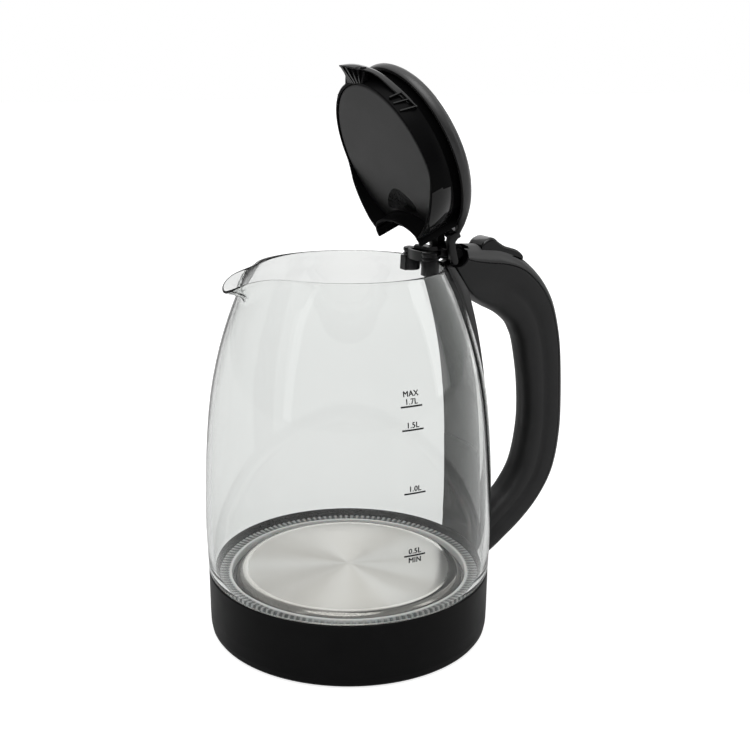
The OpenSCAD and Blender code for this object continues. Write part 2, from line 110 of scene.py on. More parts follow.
class Build:
    def __init__(self):
        self.v, self.f = [], []

    def add(self, verts, faces, m=None):
        base = len(self.v)
        for q in verts:
            q = Vector(q)
            self.v.append(tuple(m @ q) if m else tuple(q))
        self.f += [[i + base for i in f] for f in faces]
        return self

    def loft(self, rings, ring_closed=True, loop=False, caps=True, m=None):
        n, k = len(rings[0]), len(rings)
        faces = []
        for i in range(k if loop else k - 1):
            for j in range(n if ring_closed else n - 1):
                a, b = i * n + j, i * n + (j + 1) % n
                c, d = ((i + 1) % k) * n + (j + 1) % n, ((i + 1) % k) * n + j
                faces.append([a, b, c, d])
        if caps and not loop and ring_closed:
            faces.append(list(range(n))[::-1])
            faces.append([(k - 1) * n + j for j in range(n)])
        return self.add([p for r in rings for p in r], faces, m)

    def revolve(self, prof, n=192, a0=0.0, a1=360.0, m=None, fn=None):
        """Closed [r, z] outline swept round Z."""
        full = a1 - a0 >= 359.99
        rings = []
        for i in range(n if full else n + 1):
            t = math.radians(a0 + (a1 - a0) * i / n)
            pr = fn(prof, t) if fn else prof
            rings.append([(r * math.cos(t), r * math.sin(t), z) for r, z in pr])
        return self.loft(rings, loop=full, caps=not full, m=m)

    def prism(self, poly, y0, y1, m=None):
        """XZ outline between two values of y."""
        return self.loft([[(x, y, z) for x, z in poly] for y in (y0, y1)], m=m)

    def slab(self, poly, z0, z1, m=None):
        """XY outline between two heights."""
        return self.loft([[(x, y, z) for x, y in poly] for z in (z0, z1)], m=m)

    def box(self, x0, x1, y0, y1, z0, z1, m=None):
        return self.slab([(x0, y0), (x1, y0), (x1, y1), (x0, y1)], z0, z1, m)

    def lathe(self, prof, axis, at, n=64):
        """Open [r, t] profile turned about an axis through a point; ends closed on the axis."""
        rings = []
        for i in range(n):
            a = 2 * math.pi * i / n
            rings.append([(r * math.cos(a), r * math.sin(a), t) for r, t in prof])
        base = {"z": Matrix.Identity(4), "y": Matrix.Rotation(-math.pi / 2, 4, "X"),
                "x": Matrix.Rotation(math.pi / 2, 4, "Y")}[axis]
        m = Matrix.Translation(Vector(at)) @ base
        k = len(prof)
        faces = []
        for i in range(n):
            for j in range(k - 1):
                faces.append([i * k + j, ((i + 1) % n) * k + j,
                              ((i + 1) % n) * k + j + 1, i * k + j + 1])
        faces.append([i * k for i in range(n)])
        faces.append([i * k + k - 1 for i in range(n)][::-1])
        return self.add([p for r in rings for p in r], faces, m)

    def mesh(self, name, fn=None, weld=1e-3):
        me = bpy.data.meshes.new(name)
        vs = [fn(q) for q in self.v] if fn else self.v
        me.from_pydata([(x * MM, y * MM, z * MM) for x, y, z in vs], [], self.f)
        bm = bmesh.new()
        bm.from_mesh(me)
        bmesh.ops.remove_doubles(bm, verts=bm.verts, dist=weld * MM)
        bmesh.ops.dissolve_degenerate(bm, dist=1e-7, edges=bm.edges)
        bmesh.ops.recalc_face_normals(bm, faces=bm.faces)
        bm.to_mesh(me)
        bm.free()
        return me


def shade(me, angle=35.0):
    bm = bmesh.new()
    bm.from_mesh(me)
    lim = math.radians(angle)
    for f in bm.faces:
        f.smooth = True
    for e in bm.edges:
        e.smooth = not (len(e.link_faces) == 2 and e.calc_face_angle(0) > lim)
    bm.to_mesh(me)
    bm.free()


def obj(name, build, mat, body, replaces=(), angle=35.0, fn=None, bevel=0.0,
        bevel_angle=32.0, cuts=(), joins=()):
    me = build.mesh(name, fn) if isinstance(build, Build) else build
    for f in me.polygons:
        f.use_smooth = True
    o = bpy.data.objects.new(name, me)
    SCENE.collection.objects.link(o)
    for kind, tools in (("UNION", joins), ("DIFFERENCE", cuts)):
        for tool in tools:
            tm = tool.mesh("tool") if isinstance(tool, Build) else tool
            t = bpy.data.objects.new("tool", tm)
            SCENE.collection.objects.link(t)
            md = o.modifiers.new("b", "BOOLEAN")
            md.operation, md.object, md.solver = kind, t, "EXACT"
            dg = bpy.context.evaluated_depsgraph_get()
            new = bpy.data.meshes.new_from_object(o.evaluated_get(dg))
            o.modifiers.clear()
            o.data = new
            bpy.data.objects.remove(t)
            bpy.data.meshes.remove(tm)
    o.data.name = name
    if cuts or joins:
        bm = bmesh.new()
        bm.from_mesh(o.data)
        bmesh.ops.remove_doubles(bm, verts=bm.verts, dist=2e-6)
        bmesh.ops.dissolve_degenerate(bm, dist=1e-7, edges=bm.edges)
        bm.to_mesh(o.data)
        bm.free()
    if bevel:
        md = o.modifiers.new("edge", "BEVEL")
        md.width, md.segments, md.limit_method = bevel * MM, 2, "ANGLE"
        md.angle_limit = math.radians(bevel_angle)
        dg = bpy.context.evaluated_depsgraph_get()
        new = bpy.data.meshes.new_from_object(o.evaluated_get(dg))
        o.modifiers.clear()
        o.data = new
    shade(o.data, angle)
    o.data.materials.clear()
    o.data.materials.append(mat)
    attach(o, body)
    if replaces:
        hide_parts(*replaces)
    return o


# ---------------------------------------------------------------- materials
def node_mat(name):
    m = bpy.data.materials.new(name)
    m.use_nodes = True
    nt = m.node_tree
    p = nt.nodes["Principled BSDF"]
    return m, nt, p


def coords(nt, scale=(1, 1, 1)):
    tc = nt.nodes.new("ShaderNodeTexCoord")
    mp = nt.nodes.new("ShaderNodeMapping")
    mp.inputs["Scale"].default_value = scale
    nt.links.new(tc.outputs["Object"], mp.inputs["Vector"])
    return mp.outputs["Vector"]


def noise(nt, vec, scale, detail=3.0, rough=0.5):
    n = nt.nodes.new("ShaderNodeTexNoise")
    n.inputs["Scale"].default_value = scale
    n.inputs["Detail"].default_value = detail
    n.inputs["Roughness"].default_value = rough
    nt.links.new(vec, n.inputs["Vector"])
    return n.outputs["Fac"]


def ramp(nt, fac, stops):
    r = nt.nodes.new("ShaderNodeValToRGB")
    el = r.color_ramp.elements
    while len(el) > len(stops):
        el.remove(el[-1])
    while len(el) < len(stops):
        el.new(0.5)
    for e, (pos, col) in zip(el, stops):
        e.position = pos
        e.color = (*col, 1) if len(col) == 3 else col
    nt.links.new(fac, r.inputs["Fac"])
    return r.outputs["Color"]


def span(nt, fac, a, b, c, d):
    m = nt.nodes.new("ShaderNodeMapRange")
    for k, val in zip(("From Min", "From Max", "To Min", "To Max"), (a, b, c, d)):
        m.inputs[k].default_value = val
    nt.links.new(fac, m.inputs["Value"])
    return m.outputs["Result"]


def bump(nt, p, height, strength, dist):
    b = nt.nodes.new("ShaderNodeBump")
    b.inputs["Strength"].default_value = strength
    b.inputs["Distance"].default_value = dist
    nt.links.new(height, b.inputs["Height"])
    nt.links.new(b.outputs["Normal"], p.inputs["Normal"])
    return b


def plastic(name, dark, light, r0, r1, grain=1600.0, strength=0.1, dist=0.0001, spec=0.5,
            coat=0.0, coat_rough=0.1, smear=60.0):
    """Moulded plastic: slow tone drift, patchy gloss and a fine spark-eroded grain."""
    m, nt, p = node_mat(name)
    v = coords(nt)
    slow = noise(nt, v, smear, 4.0, 0.55)
    fine = noise(nt, v, grain, 2.0, 0.6)
    nt.links.new(ramp(nt, slow, [(0.3, dark), (0.7, light)]), p.inputs["Base Color"])
    nt.links.new(span(nt, slow, 0.3, 0.7, r0, r1), p.inputs["Roughness"])
    bump(nt, p, fine, strength, dist)
    p.inputs["Specular IOR Level"].default_value = spec
    p.inputs["Coat Weight"].default_value = coat
    p.inputs["Coat Roughness"].default_value = coat_rough
    return m


def metal(name, a, b, r0, r1, scale=400.0, aniso=0.0):
    m, nt, p = node_mat(name)
    v = coords(nt)
    n1 = noise(nt, v, scale, 4.0, 0.6)
    nt.links.new(ramp(nt, n1, [(0.3, a), (0.7, b)]), p.inputs["Base Color"])
    nt.links.new(span(nt, n1, 0.3, 0.7, r0, r1), p.inputs["Roughness"])
    p.inputs["Metallic"].default_value = 1.0
    p.inputs["Anisotropic"].default_value = aniso
    bump(nt, p, n1, 0.08, 0.0001)
    return m


M = {}
M["collar"] = plastic("collar_black", (0.0032, 0.0032, 0.0034), (0.0046, 0.0046, 0.0048), 0.36, 0.42,
                      grain=2600, strength=0.05, spec=0.09)
M["black"] = plastic("black_plastic", (0.004, 0.004, 0.0042), (0.006, 0.006, 0.0062), 0.28, 0.38,
                     grain=2200, strength=0.08, spec=0.25)
M["handle"] = plastic("handle_black", (0.012, 0.012, 0.0123), (0.0155, 0.0155, 0.016), 0.42, 0.48,
                      grain=1500, strength=0.22, dist=0.00008, spec=0.35)
M["spine"] = plastic("spine_black", (0.018, 0.018, 0.0182), (0.023, 0.023, 0.0233), 0.36, 0.42,
                     grain=1500, strength=0.2, dist=0.00008, spec=0.6)
M["gloss"] = plastic("gloss_black", (0.004, 0.004, 0.0042), (0.0055, 0.0055, 0.0057), 0.06, 0.1,
                     grain=900, strength=0.01, spec=0.4, smear=35)
M["plate_gloss"] = plastic("plate_gloss", (0.004, 0.004, 0.0042), (0.006, 0.006, 0.006), 0.38,
                           0.44, grain=900, strength=0.02, spec=0.4, smear=30)
M["satin"] = plastic("liner_black", (0.003, 0.003, 0.0032), (0.0042, 0.0042, 0.0044), 0.3, 0.38,
                     grain=900, strength=0.02, spec=0.03, smear=35)
M["clip"] = plastic("clip_black", (0.003, 0.003, 0.0032), (0.005, 0.005, 0.0052), 0.2, 0.28,
                    grain=900, strength=0.02, spec=0.16, smear=35)
M["cap"] = plastic("cap_black", (0.019, 0.019, 0.0192), (0.025, 0.025, 0.0253), 0.33, 0.39,
                   grain=2000, strength=0.1, spec=0.6)
M["inner"] = plastic("inner_plastic", (0.02, 0.02, 0.021), (0.03, 0.03, 0.031), 0.45, 0.55)
M["rubber"] = plastic("foot_rubber", (0.05, 0.05, 0.052), (0.065, 0.065, 0.066), 0.75, 0.85,
                      grain=900, strength=0.3)
M["tube"] = plastic("tube_silicone", (0.5, 0.5, 0.48), (0.56, 0.56, 0.54), 0.4, 0.5)
M["wire"] = plastic("wire_red", (0.42, 0.02, 0.015), (0.5, 0.03, 0.02), 0.4, 0.5)
M["ceramic"] = plastic("ceramic", (0.72, 0.7, 0.62), (0.78, 0.76, 0.69), 0.3, 0.42, smear=200)
M["steel"] = metal("plated_steel", (0.5, 0.5, 0.51), (0.62, 0.62, 0.63), 0.25, 0.36)
M["alu"] = metal("aluminium", (0.62, 0.62, 0.63), (0.74, 0.74, 0.75), 0.35, 0.48)
M["element"] = metal("element_steel", (0.2, 0.17, 0.15), (0.34, 0.3, 0.27), 0.38, 0.55)
M["brass"] = metal("brass", (0.62, 0.45, 0.16), (0.72, 0.54, 0.22), 0.25, 0.4)
M["bimetal"] = metal("bimetal", (0.58, 0.36, 0.2), (0.7, 0.5, 0.32), 0.25, 0.4)


def make_glass():
    m, nt, p = node_mat("clear_glass")
    v = coords(nt, (1, 1, 0.35))
    wav = noise(nt, v, 26.0, 1.5, 0.4)
    nt.links.new(ramp(nt, wav, [(0.3, (0.935, 0.945, 0.938)), (0.7, (0.945, 0.953, 0.947))]),
                 p.inputs["Base Color"])
    p.inputs["Roughness"].default_value = 0.0
    p.inputs["IOR"].default_value = 1.36
    p.inputs["Specular IOR Level"].default_value = 0.8
    p.inputs["Transmission Weight"].default_value = 1.0
    bump(nt, p, wav, 0.035, 0.002)
    tr = nt.nodes.new("ShaderNodeBsdfTransparent")
    tr.inputs["Color"].default_value = (0.93, 0.945, 0.938, 1)
    lp = nt.nodes.new("ShaderNodeLightPath")
    mx = nt.nodes.new("ShaderNodeMixShader")
    out = nt.nodes["Material Output"]
    nt.links.new(lp.outputs["Is Shadow Ray"], mx.inputs[0])
    nt.links.new(p.outputs["BSDF"], mx.inputs[1])
    nt.links.new(tr.outputs["BSDF"], mx.inputs[2])
    nt.links.new(mx.outputs["Shader"], out.inputs["Surface"])
    ab = nt.nodes.new("ShaderNodeVolumeAbsorption")
    ab.inputs["Color"].default_value = (0.40, 0.47, 0.41, 1)
    ab.inputs["Density"].default_value = 14.0
    nt.links.new(ab.outputs[0], out.inputs["Volume"])
    return m


M["glass"] = make_glass()


def make_seal():
    m, nt, p = node_mat("grey_silicone")
    v = coords(nt)
    n1 = noise(nt, v, 90.0, 4.0, 0.6)
    tc = nt.nodes.new("ShaderNodeTexCoord")
    sep = nt.nodes.new("ShaderNodeSeparateXYZ")
    nt.links.new(tc.outputs["Object"], sep.inputs[0])
    comb = nt.nodes.new("ShaderNodeCombineXYZ")
    nt.links.new(sep.outputs["X"], comb.inputs[0])
    nt.links.new(sep.outputs["Y"], comb.inputs[1])
    ln = nt.nodes.new("ShaderNodeVectorMath")
    ln.operation = "LENGTH"
    nt.links.new(comb.outputs[0], ln.inputs[0])
    rr = ln.outputs["Value"]
    body = ramp(nt, n1, [(0.3, (0.05, 0.052, 0.052)), (0.7, (0.10, 0.103, 0.103))])
    # painted highlight: the seal's inner edge, inside r 65 mm, is coloured light grey for the glint along
    # the glass heel's edge
    lip_painted_glint = nt.nodes.new("ShaderNodeMix")
    lip_painted_glint.data_type = "RGBA"
    nt.links.new(span(nt, rr, 0.0656, 0.065, 0.0, 1.0), lip_painted_glint.inputs["Factor"])
    nt.links.new(body, lip_painted_glint.inputs["A"])
    lip_painted_glint.inputs["B"].default_value = (0.6, 0.6, 0.59, 1)
    # painted highlight: everything above z 31.5 mm, the tops of the teeth and the lip, is lightened
    # halfway to pale grey as glints
    tooth_tops_painted_glint = nt.nodes.new("ShaderNodeMix")
    tooth_tops_painted_glint.data_type = "RGBA"
    nt.links.new(span(nt, sep.outputs["Z"], 0.0315, 0.0318, 0.0, 0.5), tooth_tops_painted_glint.inputs["Factor"])
    nt.links.new(lip_painted_glint.outputs["Result"], tooth_tops_painted_glint.inputs["A"])
    tooth_tops_painted_glint.inputs["B"].default_value = (0.55, 0.55, 0.54, 1)
    nt.links.new(tooth_tops_painted_glint.outputs["Result"], p.inputs["Base Color"])
    nt.links.new(span(nt, n1, 0.3, 0.7, 0.14, 0.22), p.inputs["Roughness"])
    p.inputs["Subsurface Weight"].default_value = 0.15
    p.inputs["Subsurface Scale"].default_value = 0.003
    bump(nt, p, n1, 0.05, 0.0002)
    return m


M["seal"] = make_seal()


def make_plate():
    """Stainless plate, turned on a lathe: fine circular lines and a sunburst of warm and cool streaks."""
    m, nt, p = node_mat("brushed_stainless")
    tc = nt.nodes.new("ShaderNodeTexCoord")
    sep = nt.nodes.new("ShaderNodeSeparateXYZ")
    nt.links.new(tc.outputs["Object"], sep.inputs[0])

    def math_node(op, a, b=None, val=None):
        n = nt.nodes.new("ShaderNodeMath")
        n.operation = op
        nt.links.new(a, n.inputs[0])
        if b is not None:
            nt.links.new(b, n.inputs[1])
        elif val is not None:
            n.inputs[1].default_value = val
        return n.outputs[0]

    x, y = sep.outputs["X"], sep.outputs["Y"]
    r = math_node("SQRT", math_node("ADD", math_node("MULTIPLY", x, x), math_node("MULTIPLY", y, y)))
    a = math_node("ARCTAN2", y, x)
    comb = nt.nodes.new("ShaderNodeCombineXYZ")
    # cos and sin of the angle, so that the streaks close on themselves
    nt.links.new(math_node("MULTIPLY", math_node("COSINE", a), val=1.0), comb.inputs[0])
    nt.links.new(math_node("MULTIPLY", math_node("SINE", a), val=1.0), comb.inputs[1])
    nt.links.new(math_node("MULTIPLY", r, val=3.0), comb.inputs[2])
    streak = noise(nt, comb.outputs[0], 1.7, 1.5, 0.45)
    ring = nt.nodes.new("ShaderNodeCombineXYZ")
    nt.links.new(math_node("MULTIPLY", r, val=1.0), ring.inputs[0])
    nt.links.new(math_node("MULTIPLY", a, val=0.0008), ring.inputs[1])
    lines = noise(nt, ring.outputs[0], 2600.0, 2.0, 0.6)
    tint = ramp(nt, streak, [(0.3, (0.475, 0.455, 0.43)), (0.5, (0.52, 0.505, 0.485)),
                             (0.7, (0.56, 0.55, 0.535))])
    # painted shade: the rolled shoulder, r 55.6 to 59.2 mm, is darkened to a dim grey for the dark
    # surroundings it reflects
    shoulder_painted_shade = nt.nodes.new("ShaderNodeMix")
    shoulder_painted_shade.data_type = "RGBA"
    nt.links.new(span(nt, r, 0.0556, 0.0592, 0.0, 1.0), shoulder_painted_shade.inputs["Factor"])
    nt.links.new(tint, shoulder_painted_shade.inputs["A"])
    shoulder_painted_shade.inputs["B"].default_value = (0.25, 0.24, 0.225, 1)
    # painted shade: the flange past r 61 mm, down in the groove under the seal, is darkened further
    flange_painted_shade = nt.nodes.new("ShaderNodeMix")
    flange_painted_shade.data_type = "RGBA"
    nt.links.new(span(nt, r, 0.0606, 0.0613, 0.0, 1.0), flange_painted_shade.inputs["Factor"])
    nt.links.new(shoulder_painted_shade.outputs["Result"], flange_painted_shade.inputs["A"])
    flange_painted_shade.inputs["B"].default_value = (0.16, 0.155, 0.148, 1)
    nt.links.new(flange_painted_shade.outputs["Result"], p.inputs["Base Color"])
    worn = span(nt, streak, 0.3, 0.7, 0.33, 0.3)
    polish = span(nt, r, 0.0545, 0.0565, 1.0, 0.3)
    nt.links.new(math_node("MULTIPLY", worn, polish), p.inputs["Roughness"])
    p.inputs["Metallic"].default_value = 1.0
    p.inputs["Anisotropic"].default_value = 0.8
    tan = nt.nodes.new("ShaderNodeTangent")
    tan.direction_type = "RADIAL"
    tan.axis = "Z"
    nt.links.new(tan.outputs[0], p.inputs["Tangent"])
    bump(nt, p, lines, 0.12, 0.00004)
    return m


M["plate"] = make_plate()


def make_ink():
    m, nt, p = node_mat("level_ink")
    v = coords(nt)
    n1 = noise(nt, v, 700.0, 3.0, 0.6)
    nt.links.new(ramp(nt, n1, [(0.3, (0.002, 0.002, 0.002)), (0.7, (0.004, 0.004, 0.004))]),
                 p.inputs["Base Color"])
    nt.links.new(span(nt, n1, 0.3, 0.7, 0.5, 0.62), p.inputs["Roughness"])
    return m


M["ink"] = make_ink()


def make_pad():
    m, nt, p = node_mat("bond_pad")
    v = coords(nt)
    n1 = noise(nt, v, 45.0, 5.0, 0.65)
    n2 = noise(nt, v, 700.0, 2.0, 0.6)
    nt.links.new(ramp(nt, n1, [(0.3, (0.004, 0.0045, 0.0048)), (0.7, (0.009, 0.0098, 0.0102))]),
                 p.inputs["Base Color"])
    nt.links.new(span(nt, n1, 0.3, 0.7, 0.35, 0.55), p.inputs["Roughness"])
    bump(nt, p, n2, 0.15, 0.0001)
    return m


M["pad"] = make_pad()

# ------------------------------------------------------------------- the jug
GLASS = [(76, 35.1), (76.45, 48), (76.8, 62), (76.35, 80), (75.55, 98), (74.2, 116), (72.3, 132),
         (69.6, 146), (66, 160), (62.1, 172), (57.4, 184), (52.9, 193), (50.7, 197.2)]
GOUT = catmull(GLASS, 8)
GZ = np.array([q[1] for q in GOUT])
GR = np.array([q[0] for q in GOUT])


def glass_r(z):
    return float(np.interp(z, GZ, GR))


SP_PHI = [0, 4, 8, 12, 16, 20, 25, 30, 36, 43, 50, 60]
SP_R = [68.0, 67.0, 64.4, 60.2, 56.0, 53.1, 51.0, 50.0, 49.7, 50.3, 50.7, 50.9]
SP_DROP = [7.5, 6.4, 4.3, 2.1, 0.8, 0.25, 0.05, 0.0, 0.0, 0.0, 0.0, 0.0]
W_D = [0, 1, 2, 3.5, 5.5, 8, 11, 15, 20, 26]
W_V = [1, 0.84, 0.69, 0.51, 0.34, 0.19, 0.09, 0.03, 0.0, 0.0]
DR_D = [0, 2, 5, 8, 12, 16, 22, 30]
DR_V = [1, 0.9, 0.7, 0.5, 0.27, 0.12, 0.0, 0.0]


def soft_interp(x, xs, ys):
    """Monotone-ish smooth interpolation through listed values."""
    k = min(max(int(np.searchsorted(xs, x)) - 1, 0), len(xs) - 2)
    h = xs[k + 1] - xs[k]
    t = min(max((x - xs[k]) / h, 0), 1)

    def slope(i):
        if i == 0 or i == len(xs) - 1:
            return 0.0
        a = (ys[i] - ys[i - 1]) / (xs[i] - xs[i - 1])
        b = (ys[i + 1] - ys[i]) / (xs[i + 1] - xs[i])
        return 0.0 if a * b <= 0 else 2 * a * b / (a + b)

    a, b = slope(k) * h, slope(k + 1) * h
    return (ys[k] * (2 * t ** 3 - 3 * t * t + 1) + a * (t ** 3 - 2 * t * t + t)
            + ys[k + 1] * (-2 * t ** 3 + 3 * t * t) + b * (t ** 3 - t * t))


def glass_column(phi):
    """Closed [r, z] outline of the wall at angle phi from the spout's middle."""
    R = soft_interp(phi, SP_PHI, SP_R)
    drop = soft_interp(phi, SP_PHI, SP_DROP)
    ds = [0, 0.5, 1, 1.5, 2, 2.7, 3.5, 4.5, 5.5, 6.7, 8, 9.5, 11, 13, 15, 17.5, 20, 23, 26, 30,
          35, 41, 48, 56, 65, 75, 86, 98, 110, 120, 130, 138, 145, 151, 156, 159.5, 161.4]
    outer = []
    for d in ds:
        z = 197.4 - d
        r = glass_r(z) + (R - 50.9) * soft_interp(d, W_D, W_V)
        outer.append(Vector((r, z - drop * soft_interp(d, DR_D, DR_V))))
    n = len(outer)
    normals = []
    for i in range(n):
        t = outer[max(i - 1, 0)] - outer[min(i + 1, n - 1)]
        t.normalize()
        normals.append(Vector((t.y, -t.x)))
    # the glass is drawn thinner where the spout is pulled out
    thin = 0.42 * smooth(42, 14, phi)
    th = [(2.6 - 0.35 * smooth(8, 0, d)) * (1 - thin * smooth(105, 2, d)) for d in ds]
    inner = [outer[i] - normals[i] * th[i] for i in range(n)]
    for i in range(n - 1, -1, -1):
        if inner[i].y < 38.5 and i < n - 1:
            inner[i].y = max(inner[i].y, 37.0)
    t0 = (outer[0] - outer[1]).normalized()
    cen = (outer[0] + inner[0]) / 2
    rad = (outer[0] - inner[0]).length / 2
    n0 = (outer[0] - inner[0]).normalized()
    rim = [cen + n0 * rad * 1.02 * math.cos(a) + t0 * rad * 1.12 * math.sin(a)
           for a in [math.radians(q) for q in (20, 42, 66, 90, 114, 138, 160)]]
    inner = [q for q in inner if q.y > 38]
    low = [(73.2, 36.6), (72.4, 34.2), (71.9, 31.6), (71.75, 30.3), (72.05, 29.8), (73.9, 29.8),
           (74.28, 30.2), (74.35, 33.4), (74.7, 34.5), (75.4, 34.85)]
    out = [tuple(q) for q in reversed(outer)] + [tuple(q) for q in rim] + [tuple(q) for q in inner]
    return out + low


g = Build()
cols = []
for i in range(288):
    # finer columns round the spout
    t = 2 * math.pi * i / 288
    phi = t - 0.45 * math.sin(t)
    cols.append(phi)
rings = []
for t in cols:
    phi = math.degrees(min(t, 2 * math.pi - t))
    az = math.pi + t
    rings.append([(r * math.cos(az), r * math.sin(az), z) for r, z in glass_column(phi)])
g.loft(rings, loop=True, caps=False)
obj("jug_glass", g, M["glass"], "kettle", ["glass_jug"], angle=70)

# seal ring under the glass, with its row of moulded teeth
teeth = 132


def seal_prof(prof, t):
    k = (t * teeth / (2 * math.pi)) % 1.0
    h = smooth(0.1, 0.32, k) * smooth(0.9, 0.68, k)
    return [(r, z + (0.55 * h if 65.4 < r < 71.0 and z > 31 else 0.0)) for r, z in prof]


seal = Build().revolve(
    [(63.7, 27.7), (73.3, 27.7), (73.3, 29.3), (71.5, 29.4), (71.45, 31.0), (71.1, 31.35),
     (70.6, 31.4), (68.4, 31.2), (66.2, 31.1), (65.6, 31.3), (65.2, 32.0), (64.5, 32.3),
     (63.9, 32.1), (63.7, 31.6)], n=teeth * 8, fn=seal_prof)
obj("seal_ring_ribbed", seal, M["seal"], "kettle", ["seal_ring"], angle=50)

# heating plate: flat centre, rolled shoulder, flange
plate = Build().revolve(
    [(0.001, 32.4), (56.8, 32.4), (58.8, 31.3), (60.4, 28.9), (61.0, 26.6), (72.4, 26.6),
     (72.4, 27.5), (62.6, 27.5), (62.0, 27.75), (61.75, 28.3), (61.3, 29.3), (60.6, 30.9),
     (59.7, 32.1), (58.5, 32.95), (57.4, 33.25), (56.2, 33.3), (55.2, 33.22), (54.4, 33.3),
     (40, 33.3), (20, 33.3), (0.001, 33.3)], n=256)
obj("heating_disc", plate, M["plate"], "kettle", ["heating_plate"],
    angle=30)


# level marks printed on the wall
def on_glass(az_deg, z, out=0.0):
    r = glass_r(z) + out
    a = math.radians(az_deg)
    return (r * math.cos(a), r * math.sin(a), z)


def mark_bar(b, az, z, w, h):
    r = glass_r(z)
    n = 10
    rings = []
    for i in range(n + 1):
        a = az + math.degrees((i / n - 0.5) * w / r)
        rings.append([on_glass(a, z - h / 2, 0.02), on_glass(a, z - h / 2, 0.1),
                      on_glass(a, z + h / 2, 0.1), on_glass(a, z + h / 2, 0.02)])
    b.loft(rings)


def mark_text(b, text, az, z, size, squeeze=0.98):
    cu = bpy.data.curves.new("glyphs", "FONT")
    cu.body, cu.size, cu.align_x = text, size, "CENTER"
    cu.extrude, cu.resolution_u, cu.space_character = 0.04, 3, 1.06
    t = bpy.data.objects.new("glyphs", cu)
    SCENE.collection.objects.link(t)
    dg = bpy.context.evaluated_depsgraph_get()
    me = bpy.data.meshes.new_from_object(t.evaluated_get(dg))
    vs = []
    for v in me.vertices:
        zz = z + v.co.y
        a = az + math.degrees(v.co.x * squeeze / glass_r(zz))
        vs.append(on_glass(a, zz, 0.06 + v.co.z))
    b.add(vs, [list(f.vertices) for f in me.polygons])
    bpy.data.objects.remove(t)
    bpy.data.meshes.remove(me)
    bpy.data.curves.remove(cu)


marks = Build()
for az, z, above, below in ((-92.0, 142.5, ["1.7L", "MAX"], []), (-92.1, 131.5, ["1.5L"], []),
                            (-92.1, 100.8, ["1.0L"], []), (-92.3, 69.4, ["0.5L"], ["MIN"])):
    mark_bar(marks, az, z, 11.4, 0.8)
    # each line is laid down twice, a hair apart, for heavier strokes
    for da, dz in ((-0.09, -0.06), (0.09, 0.06)):
        for i, s in enumerate(above):
            mark_text(marks, s, az + da, z + 1.0 + dz + 3.7 * i, 3.8)
        for i, s in enumerate(below):
            mark_text(marks, s, az + da, z - 3.6 + dz, 3.8)
obj("level_marks", marks, M["ink"], "kettle", (), angle=30)

# -------------------------------------------------------------------- handle
GRIP = [((52, 205), (50, 207)), ((58.4, 194.2), (57.6, 205.9)), ((66.6, 181.6), (66.0, 204.9)),
        ((74, 174.5), (80, 203.9)),
        ((82, 169.5), (91, 202)), ((91.5, 164.5), (103.5, 196)), ((99.3, 158), (114.5, 187)),
        ((103, 152), (122, 177.5)), ((105.6, 145.5), (127, 167)), ((108.2, 133.5), (131.4, 150)),
        ((110.2, 121.5), (134, 130)), ((111.3, 109), (135.4, 111)), ((111.2, 97), (135.5, 94)),
        ((109, 82), (133.4, 76.5)), ((105.3, 71), (129, 63.5)), ((98, 60.5), (120.8, 51)),
        ((90, 53.5), (110, 40)), ((84, 48.2), (98, 31)), ((79.9, 43.0), (88, 24.4)),
        ((77.2, 36.6), (77.2, 19.7))]
flat = catmull([a + b for a, b in GRIP], 7)
stations = [((q[0], q[1]), (q[2], q[3])) for q in flat][7:]


def half_ring(prof_out, prof_in, n_out=3):
    """Right half of the section from smoothed outer points and plain inner ones."""
    return catmull(prof_out, n_out) + list(prof_in)


SHELL_OUT = [(0, 0.6), (0.005, 2.6), (0.035, 5.4), (0.1, 8.0), (0.2, 9.4), (0.31, 9.6),
             (0.39, 9.25), (0.45, 9.7), (0.52, 10.6), (0.62, 11.0), (0.72, 11.0)]
SHELL_TAIL = [(0.738, 10.9), (0.745, 10.55), (0.745, 8.9), (0.5, 8.4), (0.3, 7.2), (0.18, 6.2),
              (0.12, 2.5)]
SPINE_OUT = [(0.752, 10.55), (0.76, 10.9), (0.785, 10.98), (0.82, 10.5), (0.86, 9.7),
             (0.9, 8.6), (0.935, 7.1), (0.965, 5.4), (0.987, 3.4), (1.0, 0.8)]
SPINE_TAIL = [(0.93, 1.2), (0.89, 5.0), (0.85, 7.6), (0.752, 8.9)]


def section(st, prof):
    (ax, az), (bx, bz) = st
    prof = [(seam(u, st), v) for u, v in prof]
    pts = [(ax + u * (bx - ax), v, az + u * (bz - az)) for u, v in prof]
    return pts + [(x, -y, z) for x, y, z in reversed(pts)]


SHELL_HEAD = [(0, 0.6), (0.001, 4.5), (0.002, 8.6), (0.008, 10.1), (0.03, 10.75), (0.1, 11.0),
              (0.2, 11.0), (0.32, 11.0), (0.42, 11.0), (0.56, 11.0), (0.72, 11.0)]
shell_half = half_ring(SHELL_OUT, SHELL_TAIL)
shell_head = half_ring(SHELL_HEAD, SHELL_TAIL)


def shell_section(st):
    k = smooth(68, 96, st[0][0] * 0.5 + st[1][0] * 0.5) if st[1][1] > 120 else 1.0
    return section(st, [(u0 + (u1 - u0) * k, v0 + (v1 - v0) * k)
                        for (u0, v0), (u1, v1) in zip(shell_head, shell_half)])


spine_half = list(SPINE_TAIL) + catmull(SPINE_OUT, 3)


